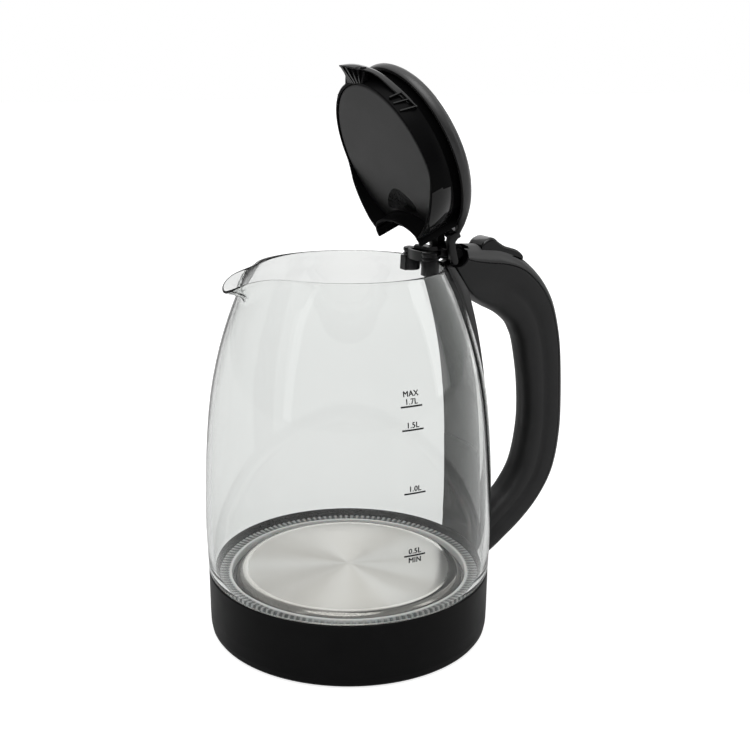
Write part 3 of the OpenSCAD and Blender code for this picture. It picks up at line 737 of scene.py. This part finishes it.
def seam(u, st):
    """Parting line between grip and crown: low at the hinge, high round the bend."""
    if st[1][1] > 150:
        m = 0.693 + 0.127 * smooth(72, 104, st[0][0] * 0.5 + st[1][0] * 0.5)
    else:
        m = 0.82 - 0.05 * smooth(150, 110, st[1][1])
    return u * m / 0.748 if u < 0.748 else m + (u - 0.748) * (1 - m) / 0.252
hinge_cut = Build().lathe([(6.25, -16), (6.25, 16)], "y", (59.9, 0, 200.3), 96)
hinge_mid = Build().lathe([(8.7, -6.75), (8.7, 6.75)], "y", (HX, 0, HZ), 96)
hinge_room = Build().prism([(40, 196.9), (52.6, 196.7), (56.6, 195.3), (59.8, 200.2), (57.9, 205.5),
                            (57.8, 214), (40, 214)], -16, 16)
hinge_room_mid = Build().prism([(38, 192), (60, 192), (60.4, 214), (38, 214)], -6.75, 6.75)
glass_room = Build().revolve([(0.01, 150), (0.01, 214), (44, 214)]
                             + [(r + 1.6, z) for r, z in reversed(GOUT) if z > 150], n=128)
well = Build().box(76.2, 104.6, -7.35, 7.35, 186, 216)
cave = Build().box(66, 81, -9.3, 9.3, 185.9, 199.4)
cave2 = Build().box(78, 102, -8.5, 8.5, 185.6, 197.2)


def clone(b):
    c = Build()
    c.v, c.f = list(b.v), list(b.f)
    return c


shell = Build().loft([shell_section(st) for st in stations])
obj("handle_grip", shell, M["handle"], "kettle", ["handle_shell"], angle=40,
    cuts=[clone(hinge_cut), clone(hinge_room), clone(hinge_mid), clone(hinge_room_mid), clone(cave),
          clone(cave2), clone(well)])
spine = Build().loft([section(st, spine_half) for st in stations])
obj("handle_crown", spine, M["spine"], "kettle", ["handle_spine"], angle=40,
    cuts=[clone(hinge_cut), clone(hinge_room), clone(hinge_mid), clone(hinge_room_mid), clone(cave),
          clone(cave2), clone(well)])

# near-black sheet lining the hinge socket: painted shade standing in for the socket's shadow
socket_shade_sheet = Build()
for cx, cz, r, a0, a1, y0, y1 in ((59.9, 200.3, 6.27, -112, 23, -9.6, -6.8),
                                  (59.9, 200.3, 6.27, -112, 23, 6.8, 9.6),
                                  (HX, HZ, 8.72, -100, 20, -5.6, 5.6)):
    arc = [(math.cos(math.radians(a0 + (a1 - a0) * i / 40)),
            math.sin(math.radians(a0 + (a1 - a0) * i / 40))) for i in range(41)]
    socket_shade_sheet.prism([(cx + r * u, cz + r * w) for u, w in arc]
              + [(cx + (r - 0.18) * u, cz + (r - 0.18) * w) for u, w in reversed(arc)], y0, y1)
obj("hinge_socket_painted_shade", socket_shade_sheet, M["satin"], "kettle", (), angle=40)

# strip that hugs the glass, thicker towards the top, with rolled side edges
strip = Build()
zl = [q for q in GOUT if 36.6 <= q[1] <= 195.6]
zl = [(76.0, 34.3)] + zl + [(glass_r(195.6), 195.6)]
srings = []
NA = 40
for i in range(NA + 1):
    a = -15 + 30 * i / NA
    edge = smooth(0, 2.6, 15 - abs(a))
    ring = []
    for r, z in zl:
        thick = 3.8 if z < 110 else 3.8 + 3 * ((z - 110) / 64) ** 2
        thick -= 0.26 * max(z - 182, 0)
        end = min(1.0, (195.6 - z) / 1.5 + 0.35)
        ring.append((r + 1.1 + (thick - 1.1) * (0.3 + 0.7 * edge) * end, z))
    ring += [(r + 1.1, z) for r, z in reversed(zl)]
    t = math.radians(a)
    srings.append([(r * math.cos(t), r * math.sin(t), z) for r, z in ring])
strip.loft(srings)
obj("handle_apron", strip, M["spine"], "kettle", ["handle_strip"], angle=40,
    cuts=[clone(hinge_cut), clone(hinge_mid), clone(hinge_room_mid)])

# ----------------------------------------------------------------------- lid
CAP = [(-0.9, 199.3), (-0.2, 199.35), (0.25, 199.9), (0.5, 201.0), (0.5, 202.3), (0.25, 203.3),
       (-0.1, 203.9), (-0.5, 204.4), (-1.2, 205.2), (-2.3, 206.1), (-4.4, 207.2), (-7.6, 208.4),
       (-11.5, 209.6), (-16, 210.8), (-22, 212.0), (-28.5, 212.9), (-35, 213.5), (-41, 213.8),
       (-60, 213.9)]
CAPR = [(-1.9, 204.0), (-0.9, 204.1), (-0.3, 204.5), (0.1, 205.2), (0.1, 206.2), (-0.3, 207.1),
        (-0.9, 207.7), (-1.7, 208.2), (-3.0, 208.8), (-5.0, 209.4), (-8.2, 210.1), (-12.5, 210.8),
        (-17.5, 211.5), (-23, 212.2), (-29.5, 212.9), (-36, 213.4), (-42.5, 213.7), (-49, 213.85),
        (-60, 213.9)]


def plan_r(az):
    """Radius of the cap's lower outline: a circle that runs out to a rounded tongue over the hinge."""
    xs = [0, 4, 8, 12.4, 19.2, 28.9, 38, 50, 65, 90, 135, 180]
    rs = [55.6, 54.6, 52.6, 50.8, 48.9, 47.4, 46.4, 45.6, 45.2, 45.3, 45.0, 44.3]
    return soft_interp(abs(az), xs, rs)


def cap_rings(thick, n=256):
    rings = []
    for i in range(n):
        t = -180 + 360 * i / n
        az = t - 22 * math.sin(math.radians(t))
        k = smooth(36, 5, abs(az))
        R = plan_r(az)
        ring = []
        for (d0, z0), (d1, z1) in zip(CAP, CAPR):
            d = d0 * (1 - k) + d1 * k
            ring.append((max(R + d, 0.0), z0 * (1 - k) + z1 * k))
        w = 2.0 - 0.9 * smooth(34, 24, abs(az))
        inner = [(max(r - (w if j < 9 else 1.2), 0.0), z - (0.2 if j < 2 else 1.0 + 1.0 * min(j / 9, 1)))
                 for j, (r, z) in enumerate(ring)]
        inner[0] = (ring[0][0] - 0.5 * w, ring[0][1] + 0.05)
        inner[1] = (ring[0][0] - 0.62 * w, ring[0][1] + 0.6)
        inner[2] = (ring[0][0] - 0.65 * w, ring[0][1] + 1.4)
        a = math.radians(az)
        rings.append([(r * math.cos(a), r * math.sin(a), z) for r, z in ring + inner[::-1]])
    return rings


cap = Build().loft(cap_rings(2.0), loop=True, caps=False)
obj("lid_dome", cap, M["cap"], "lid", ["lid_cap"], angle=45, fn=opened)

# liner: round skirt with a rear edge that runs down to two lobes, set back under the cap
SK_X = [-50, 0, 3, 8, 13, 20, 27, 34, 40, 46]
SK_Z = [184.6, 184.6, 184.4, 183.4, 182.0, 180.4, 178.8, 177.0, 175.9, 175.4]


def skirt_prof(prof, t):
    x = 43.2 * math.cos(t)
    zb = soft_interp(x, SK_X, SK_Z)
    return [(r, zb + (z - 184.6) * 0.999 if z < 186 else z) for r, z in prof]


SKIRT = [(41.75, 184.9), (42.05, 184.6), (42.9, 184.6), (43.25, 184.95), (43.3, 190.0),
         (43.3, 194.4), (43.0, 194.9), (41.2, 195.1), (40.9, 195.5), (40.8, 203.0),
         (39.6, 203.0), (39.6, 194.2), (41.6, 193.4), (41.7, 188)]
lobe_a = 28.6
liner = Build().revolve(SKIRT, n=200, a0=lobe_a, a1=360 - lobe_a, fn=skirt_prof)
# arch wall round the rim clamp, from lobe to lobe
ARCH = [(40.9, -22.3), (39.6, -22.6), (37.4, -22.5), (34.7, -21.2), (32.3, -18.2), (30.4, -13.6),
        (29.2, -7.5), (28.8, 0), (29.2, 7.5), (30.4, 13.6), (32.3, 18.2), (34.7, 21.2),
        (37.4, 22.5), (39.6, 22.6), (40.9, 22.3)]
ap = catmull(ARCH, 5)
arings = []
for i, (x, y) in enumerate(ap):
    q0, q1 = ap[max(i - 1, 0)], ap[min(i + 1, len(ap) - 1)]
    tx, ty = q1[0] - q0[0], q1[1] - q0[1]
    L = math.hypot(tx, ty)
    nx, ny = ty / L, -tx / L
    if nx < 0:
        nx, ny = -nx, -ny
    zb = 175.9 + 0.5 * smooth(14, 0, abs(y))
    w = 1.35
    if abs(y) > 21:
        nx, ny = 0.35, -math.copysign(0.94, y)
    arings.append([(x, y, 205.2), (x, y, zb + 0.35), (x + nx * 0.35, y + ny * 0.35, zb),
                   (x + nx * (w - 0.35), y + ny * (w - 0.35), zb),
                   (x + nx * w, y + ny * w, zb + 0.35), (x + nx * w, y + ny * w, 205.2)])
liner.loft(arings)
# roof behind the arch, and the floor that carries the cap
liner.slab([(x + 0.9, y * 0.97) for x, y in ap[6:-6]]
           + [(39.4, 20.6), (39.4, -20.6)], 204.4, 205.3)
obj("lid_liner_shell", liner, M["satin"], "lid", ["lid_liner"], angle=38, fn=opened)

# glossy side panels let into the skirt's rear quarters
pan = Build()
for sgn in (-1, 1):
    prs = []
    for i in range(33):
        a = 73.5 - 41.5 * i / 32
        t = math.radians(a * sgn)
        x = 43.2 * math.cos(t)
        zb = soft_interp(x, SK_X, SK_Z) + 0.55
        zt = 194.3 - 5.2 * smooth(71.2, 72.4, a)
        e = 0.16 * smooth(0, 0.8, min(73.5 - a, a - 32))
        ring = [(43.2, zb), (43.3 + e, zb + 0.25), (43.33 + e, zt - 0.25), (43.2, zt)]
        prs.append([(r * math.cos(t), r * math.sin(t), z) for r, z in ring])
    pan.loft(prs)
obj("lid_side_panels", pan, M["gloss"], "lid", (), angle=50, fn=opened)

# flat plate in the liner, with a rolled edge
pl = Build()
edge = [(a, min(41.85, 41.85)) for a in range(0, 360, 2)]
outline = []
for i in range(241):
    a = math.radians(lobe_a + 2.4 + (360 - 2 * (lobe_a + 2.4)) * i / 240)
    outline.append((41.72 * math.cos(a), 41.72 * math.sin(a)))
back = [(x + 0.3, y * 0.985) for x, y in ap[5:-5]]
outline = outline + back
cxy = (0.0, 0.0)


def plate_ring(shrink, z):
    out = []
    for x, y in outline:
        L = math.hypot(x, y)
        f = (L - shrink) / L
        out.append((x * f, y * f, z))
    return out


pl.loft([plate_ring(0, 186.9), plate_ring(0, 185.75), plate_ring(0.35, 185.3),
         plate_ring(0.8, 185.1), plate_ring(1.3, 185.0), plate_ring(1.9, 185.0),
         plate_ring(14, 185.0)])
obj("lid_plate_disc", pl, M["plate_gloss"], "lid", ["lid_plate"], angle=30,
    fn=opened)

# pouring hood over the spout: a thin pointed visor, hollow below, with ribs behind its tip
HD_A = [0, 3, 7, 12, 17, 22, 27, 32, 37, 42, 48]
HD_R = [53.6, 52.9, 51.3, 49.4, 47.9, 46.8, 46.0, 45.3, 44.8, 44.3, 43.9]
HD_Z = [180.6, 181.6, 184.0, 187.2, 189.2, 189.9, 190.1, 190.3, 190.7, 191.3, 192.0]


def hood_edge(d):
    return soft_interp(abs(d), HD_A, HD_R), soft_interp(abs(d), HD_A, HD_Z)


def hood_ring(d):
    r, z = hood_edge(d)
    top = 195.0
    reach = r - 43.1
    bulge = 1.7 * smooth(40, 0, abs(d))
    out = []
    for k in range(11):
        t = k / 10
        out.append((43.1 + reach * t ** 0.82 + bulge * math.sin(math.pi * t) * 0.7,
                    top - (top - z) * t ** 1.35))
    th = 0.95
    inn = [(q - th * (0.45 + 0.3 * k / 10), w - th * 0.75) for k, (q, w) in enumerate(out[:-1])]
    inn = [(max(q, 42.6), w) for q, w in inn]
    ring = [(42.7, top)] + out + [(r - 0.35, z - 0.18), (r - 0.75, z + 0.05)] + inn[::-1]
    ring.append((42.6, top - 1.0))
    a = math.radians(180 + d)
    return [(q * math.cos(a), q * math.sin(a), w) for q, w in ring]


beak = Build().loft([hood_ring(-48 + 96 * i / 120) for i in range(121)])
for k in range(-4, 5):
    y0 = k * 2.15
    d = math.degrees(math.asin(min(1, abs(y0) / 50)))
    r, z = hood_edge(d)
    beak.prism([(-42.8, 187.6), (-(r - 1.0), z + 2.6), (-(r - 0.55), z + 0.35),
                (-(r - 2.2), z + 0.75), (-42.8, 184.2 - 0.5 * smooth(9, 0, abs(y0)))],
               y0 - 0.62, y0 + 0.62)
web = []
for i in range(13):
    y0 = -9.2 + 18.4 * i / 12
    d = math.degrees(math.asin(min(1, abs(y0) / 50)))
    r, z = hood_edge(d)
    web.append([(-42.8, y0, 187.8), (-(r - 1.0), y0, z + 2.8), (-(r - 0.9), y0, z + 2.0),
                (-42.8, y0, 186.9)])
beak.loft(web)
obj("lid_beak", beak, M["gloss"], "lid", ["lid_strainer"], angle=38, fn=opened)

# spring clips at the skirt's shoulders: a frame with three ribs
clip = Build()
for sgn in (-1, 1):
    m = Matrix.Rotation(math.radians(sgn * 134), 4, "Z")

    def bar(p0, p1, w, d0, d1):
        """Bar across the skirt from p0 to p1 (y, z), w wide, standing out d0 then d1."""
        dy, dz = p1[0] - p0[0], p1[1] - p0[1]
        L = math.hypot(dy, dz)
        ny, nz = -dz / L * w / 2, dy / L * w / 2
        lo = [(42.8, p0[0] - ny, p0[1] - nz), (42.8, p0[0] + ny, p0[1] + nz),
              (42.8, p1[0] + ny, p1[1] + nz), (42.8, p1[0] - ny, p1[1] - nz)]
        hi = [(d0, p0[0] - ny * 0.7, p0[1] - nz * 0.7), (d0, p0[0] + ny * 0.7, p0[1] + nz * 0.7),
              (d1, p1[0] + ny * 0.7, p1[1] + nz * 0.7), (d1, p1[0] - ny * 0.7, p1[1] - nz * 0.7)]
        clip.loft([lo, hi], m=m)
    bar((-5.6 * sgn, 193.6), (5.6 * sgn, 192.4), 0.8, 45.0, 44.8)
    bar((-5.2 * sgn, 194.0), (-2.6 * sgn, 186.0), 0.9, 45.0, 44.0)
    bar((0.2 * sgn, 193.2), (2.6 * sgn, 185.9), 0.8, 44.8, 43.9)
    bar((5.2 * sgn, 192.6), (6.2 * sgn, 186.2), 0.9, 45.0, 44.2)
obj("lid_clips", clip, M["clip"], "lid", ["lid_tabs"], angle=30, fn=opened)

# hinge arms: a rounded bar each side of the pin, rooted under the cap's rear edge
kn = Build()
for sgn in (-1, 1):
    y0, y1 = (7.0, 10.6) if sgn > 0 else (-10.6, -7.0)
    kn.prism(fillet([(48.6, 205.4), (48.9, 199.6), (51.3, 197.8), (55.2, 196.7), (59.0, 195.9),
                     (62.0, 195.5), (64.0, 195.9), (64.9, 197.2), (64.6, 198.6), (62.8, 199.3),
                     (57.1, 200.2), (53.6, 201.3), (52.6, 203.2), (52.6, 205.6)], 0.9), y0, y1)
obj("lid_knuckles", kn, M["handle"], "lid", ["lid_hinge_arms"], angle=35,
    fn=opened, bevel=0.45, bevel_angle=50)

# web and pin bosses of the hinge arms, in the near-black liner finish: painted shade, darker than the
# arms so they read as lying in the socket's shadow
arm_web_painted_shade = Build().prism(fillet([(51.6, 205.2), (51.6, 200.4), (57.2, 199.8), (57.6, 203.6),
                            (56.0, 205.2)], 0.5), 7.1, 10.4)
for sgn in (-1, 1):
    y0, y1 = (7.0, 9.5) if sgn > 0 else (-9.5, -7.0)
    arm_web_painted_shade.lathe([(2.3, y0), (2.6, y0 + 0.3), (2.6, y1 - 0.3), (2.3, y1)], "y", (HX, 0, HZ), 60)
obj("lid_gusset_painted_shade", arm_web_painted_shade, M["satin"], "lid", (), angle=35, fn=opened)

# rim clamp: two grooved posts inside the jug's mouth, joined behind by a bridge over the rim
cl = Build()
POST = [(3.9, 191.3), (4.4, 191.6), (4.6, 192.3), (4.7, 198.3), (4.5, 198.7), (4.0, 198.9),
        (4.0, 199.4), (4.45, 199.6), (4.5, 200.2), (4.3, 200.5), (3.9, 200.7), (3.9, 201.3),
        (4.3, 201.5), (4.45, 201.9), (4.45, 202.9), (4.25, 203.3), (3.8, 203.5)]
# room for the closed cap's rear edge, 0.35 mm clear of it
rim_room = []
for i in range(73):
    az = -36 + i
    k = smooth(36, 5, abs(az))
    r_in = plan_r(az) - 0.9 * (1 - k) - 1.9 * k - 1.1 - 0.35
    z_in = 199.3 * (1 - k) + 204.0 * k - 0.35
    t = math.radians(az)
    rim_room.append([(r * math.cos(t), r * math.sin(t), z) for r, z in
                     ((r_in, z_in), (60, z_in), (60, 209), (r_in + 1.2, 209), (r_in, 206.5))])
rim_room = Build().loft(rim_room)
for sgn in (-1, 1):
    post = Build().lathe(POST, "z", (43.3 if sgn > 0 else 42.1,
                                     sgn * (10.4 if sgn > 0 else 11), 0), 72)
    obj("clamp_post_far" if sgn > 0 else "clamp_post_near", post, M["black"], "kettle", (),
        angle=35, cuts=[clone(rim_room)])
    # heel block beside each post
    cl.prism(fillet([(38.0, 191.3), (42.6, 191.3), (42.8, 199.0), (38.4, 199.2)], 0.5),
             sgn * 11 - 2.6, sgn * 11 + 2.6)
    cl.prism(fillet([(42.5, 200.0), (46.0, 200.0), (46.4, 201.2), (45.8, 202.4), (43.0, 202.6)], 0.6),
             sgn * 9.6 - 2.2, sgn * 9.6 + 2.2)
band = []
for i in range(25):
    y = -11 + 22 * i / 24
    x = 40.2 + 0.6 * (y / 11) - 2.4 * (1 - (y / 11) ** 2)
    band.append([(x, y, 198.4), (x, y, 203.3), (x + 0.5, y, 203.5), (x + 1.2, y, 203.5),
                 (x + 1.5, y, 203.3), (x + 1.5, y, 198.4)])
cl.loft(band)
cl.prism(fillet([(45.4, 200.0), (59.0, 200.0), (59.0, 202.8), (56, 203.4), (45.4, 203.2)], 0.6),
         -6.5, 6.5)
hump = Build().prism(fillet([(42.4, 200.6), (42.4, 204.6), (43.4, 205.4), (48.4, 205.3),
                             (50.0, 204.5), (51.4, 203.2), (51.4, 200.6)], 0.6), -6.5, 6.5)
obj("clamp_hump", hump, M["black"], "kettle", (), angle=35,
    cuts=[clone(rim_room)])
ear = Build()
ear.lathe([(4.5, -6.3), (4.9, -5.9), (4.9, 5.9), (4.5, 6.3)], "y", (HX, 0, HZ), 60)
ear.prism(fillet([(55.6, 199.9), (64.6, 199.2), (68.6, 193.4), (68.6, 187.7), (73.8, 187.7),
                  (73.8, 189), (70.4, 190.6), (70.4, 194.6), (65, 203.2), (58, 204.4)], 0.5),
          -6.3, 6.3)
obj("hinge_ear", ear, M["satin"], "kettle", (), angle=35)
obj("rim_clamp", cl, M["black"], "kettle", ["hinge_bracket"], angle=35)

# ----------------------------------------------------------- release button
top = catmull([(76.9, 204.5), (79.2, 206.5), (82.6, 207.7), (85.2, 207.2), (88, 205.0),
               (92, 202.6), (96, 201.3), (100, 199.9), (104.0, 197.0)], 6)
low_x = [76.9, 82, 94, 99, 104.1]
low_z = [201.4, 201.4, 198.3, 196.6, 194.6]
brings = []
for i, (x, zt) in enumerate(top):
    zb = float(np.interp(x, low_x, low_z))
    e = min(1.0, 0.45 + min(x - 76.9, 104.0 - x) / 2.2)
    ht = zt - zb
    c = min(1.7, ht * 0.4)
    hw = 6.95 - 0.6 * (1 - e)
    zt2 = zt - (1 - e) * 0.8
    dish = 0.0
    ring = [(x, -hw, zb), (x, -hw, zb + 0.3 * ht)]
    for k in range(7):
        a = math.pi / 2 * k / 6
        ring.append((x, -hw + c * (1 - math.cos(a)), zt2 - c + c * math.sin(a)))
    ring += [(px, -py, pz) for px, py, pz in reversed(ring)]
    brings.append(ring)
spring_room = Build().lathe([(3.4, 190.0), (3.4, 202.2)], "z", (90, 0, 0), 48)
obj("release_key", Build().loft(brings), M["gloss"], "button", ["release_button"],
    angle=40, cuts=[spring_room])

# ------------------------------------------- looks of the carried-over nodes
LOOK = {
    "heat_spreader": "alu", "heater_element": "element", "element_terminals": "brass",
    "base_frame": "inner", "collar": "collar", "bottom_cover": "black", "feet": "rubber",
    "base_screws": "steel", "coupler_socket": "inner", "bimetal_discs": "bimetal",
    "thermal_cutout": "ceramic", "steam_switch": "inner", "steam_tube": "tube",
    "inner_wires": "wire", "upper_bond_pad": "pad", "lower_bond_pad": "pad",
    "handle_chassis": "steel", "hinge_pin": "steel",
    "lid_spring": "steel", "button_spring": "steel", "handle_screws": "steel",
    "switch_spring": "steel", "lid_screws": "steel", "lid_catch": "inner", "switch_lever": "gloss",
}
for node, key in LOOK.items():
    o = frame["nodes"][node]
    if not o.material_slots:
        o.data.materials.append(M[key])
    for s in o.material_slots:
        s.material = M[key]

# ------------------------------------------------------------ camera, studio
cam_data = bpy.data.cameras.new("camera")
cam = bpy.data.objects.new("camera", cam_data)
cam.location = (-0.2574, -0.5053, 0.2968)
cam.rotation_euler = (math.radians(90 - 15.442), 0, math.radians(-27))
cam_data.lens, cam_data.sensor_width = 53.795, 36
cam_data.shift_x = 26.5 / 750
SCENE.collection.objects.link(cam)
SCENE.camera = cam
SCENE.view_settings.view_transform = "Standard"

fl = Build()
fl.add([(-9000, -9000, 0), (9000, -9000, 0), (9000, 9000, 0), (-9000, 9000, 0)], [[0, 1, 2, 3]])
fme = fl.mesh("floor")
floor = bpy.data.objects.new("floor", fme)
SCENE.collection.objects.link(floor)
fm, fnt, fp = node_mat("studio_floor")
fn1 = noise(fnt, coords(fnt), 3.0, 2.0, 0.5)
fnt.links.new(ramp(fnt, fn1, [(0.3, (0.43, 0.43, 0.43)), (0.7, (0.45, 0.45, 0.45))]),
              fp.inputs["Base Color"])
fp.inputs["Roughness"].default_value = 0.9
fp.inputs["Specular IOR Level"].default_value = 0.0
fp.inputs["Emission Color"].default_value = (1, 1, 1, 1)
flp = fnt.nodes.new("ShaderNodeLightPath")
fmul = fnt.nodes.new("ShaderNodeMath")
fmul.operation = "MULTIPLY_ADD"
fnt.links.new(flp.outputs["Is Camera Ray"], fmul.inputs[0])
fmul.inputs[1].default_value = 0.74
fadd = fnt.nodes.new("ShaderNodeMath")
fadd.operation = "MULTIPLY_ADD"
fnt.links.new(flp.outputs["Is Transmission Ray"], fadd.inputs[0])
fadd.inputs[1].default_value = 0.29
fadd.inputs[2].default_value = 0.04
fnt.links.new(fadd.outputs[0], fmul.inputs[2])
fnt.links.new(fmul.outputs[0], fp.inputs["Emission Strength"])
fme.materials.append(fm)

world = bpy.data.worlds.new("studio")
SCENE.world = world
world.use_nodes = True
wn = world.node_tree
bg = wn.nodes["Background"]
bg.inputs["Color"].default_value = (1, 1, 1, 1)
wtc = wn.nodes.new("ShaderNodeTexCoord")
wsep = wn.nodes.new("ShaderNodeSeparateXYZ")
wn.links.new(wtc.outputs["Generated"], wsep.inputs[0])
wup = wn.nodes.new("ShaderNodeMapRange")
wup.interpolation_type = "SMOOTHSTEP"
for k, val in zip(("From Min", "From Max", "To Min", "To Max"), (0.1, 0.95, 0.14, 1.05)):
    wup.inputs[k].default_value = val
wn.links.new(wsep.outputs["Z"], wup.inputs["Value"])
wn.links.new(wup.outputs["Result"], bg.inputs["Strength"])
bg2 = wn.nodes.new("ShaderNodeBackground")
bg2.inputs["Color"].default_value = (1, 1, 1, 1)
bg2.inputs["Strength"].default_value = 1.0
bg3 = wn.nodes.new("ShaderNodeBackground")
bg3.inputs["Color"].default_value = (1, 1, 1, 1)
bg3.inputs["Strength"].default_value = 0.64
wlp = wn.nodes.new("ShaderNodeLightPath")
wmt = wn.nodes.new("ShaderNodeMixShader")
wn.links.new(wlp.outputs["Is Transmission Ray"], wmt.inputs[0])
wn.links.new(bg.outputs[0], wmt.inputs[1])
wn.links.new(bg3.outputs[0], wmt.inputs[2])
wmx = wn.nodes.new("ShaderNodeMixShader")
wn.links.new(wlp.outputs["Is Camera Ray"], wmx.inputs[0])
wn.links.new(wmt.outputs[0], wmx.inputs[1])
wn.links.new(bg2.outputs[0], wmx.inputs[2])
wn.links.new(wmx.outputs[0], wn.nodes["World Output"].inputs["Surface"])


def area(name, loc, target, size, size_y, power):
    d = bpy.data.lights.new(name, "AREA")
    d.shape, d.size, d.size_y, d.energy = "RECTANGLE", size, size_y, power
    o = bpy.data.objects.new(name, d)
    o.location = loc
    o.rotation_euler = (Vector(target) - Vector(loc)).to_track_quat("-Z", "Y").to_euler()
    SCENE.collection.objects.link(o)
    return o


sun_d = bpy.data.lights.new("overhead", "SUN")
sun_d.energy, sun_d.angle = 1.35, math.radians(50)
sun = bpy.data.objects.new("overhead", sun_d)
sun.rotation_euler = (math.radians(14), math.radians(-12), 0)
SCENE.collection.objects.link(sun)
area("softbox_left", (-0.98, -0.26, 0.55), (0, 0, 0.13), 0.13, 0.9, 0.32)
area("softbox_side", (1.0, 0.36, 0.42), (0, 0, 0.12), 0.16, 0.9, 0.45)
area("softbox_right", (0.85, -0.55, 0.5), (0.05, 0, 0.13), 0.3, 0.7, 1.0)
area("softbox_rear", (0.35, 0.95, 0.6), (0, 0, 0.15), 0.8, 0.5, 1.2)
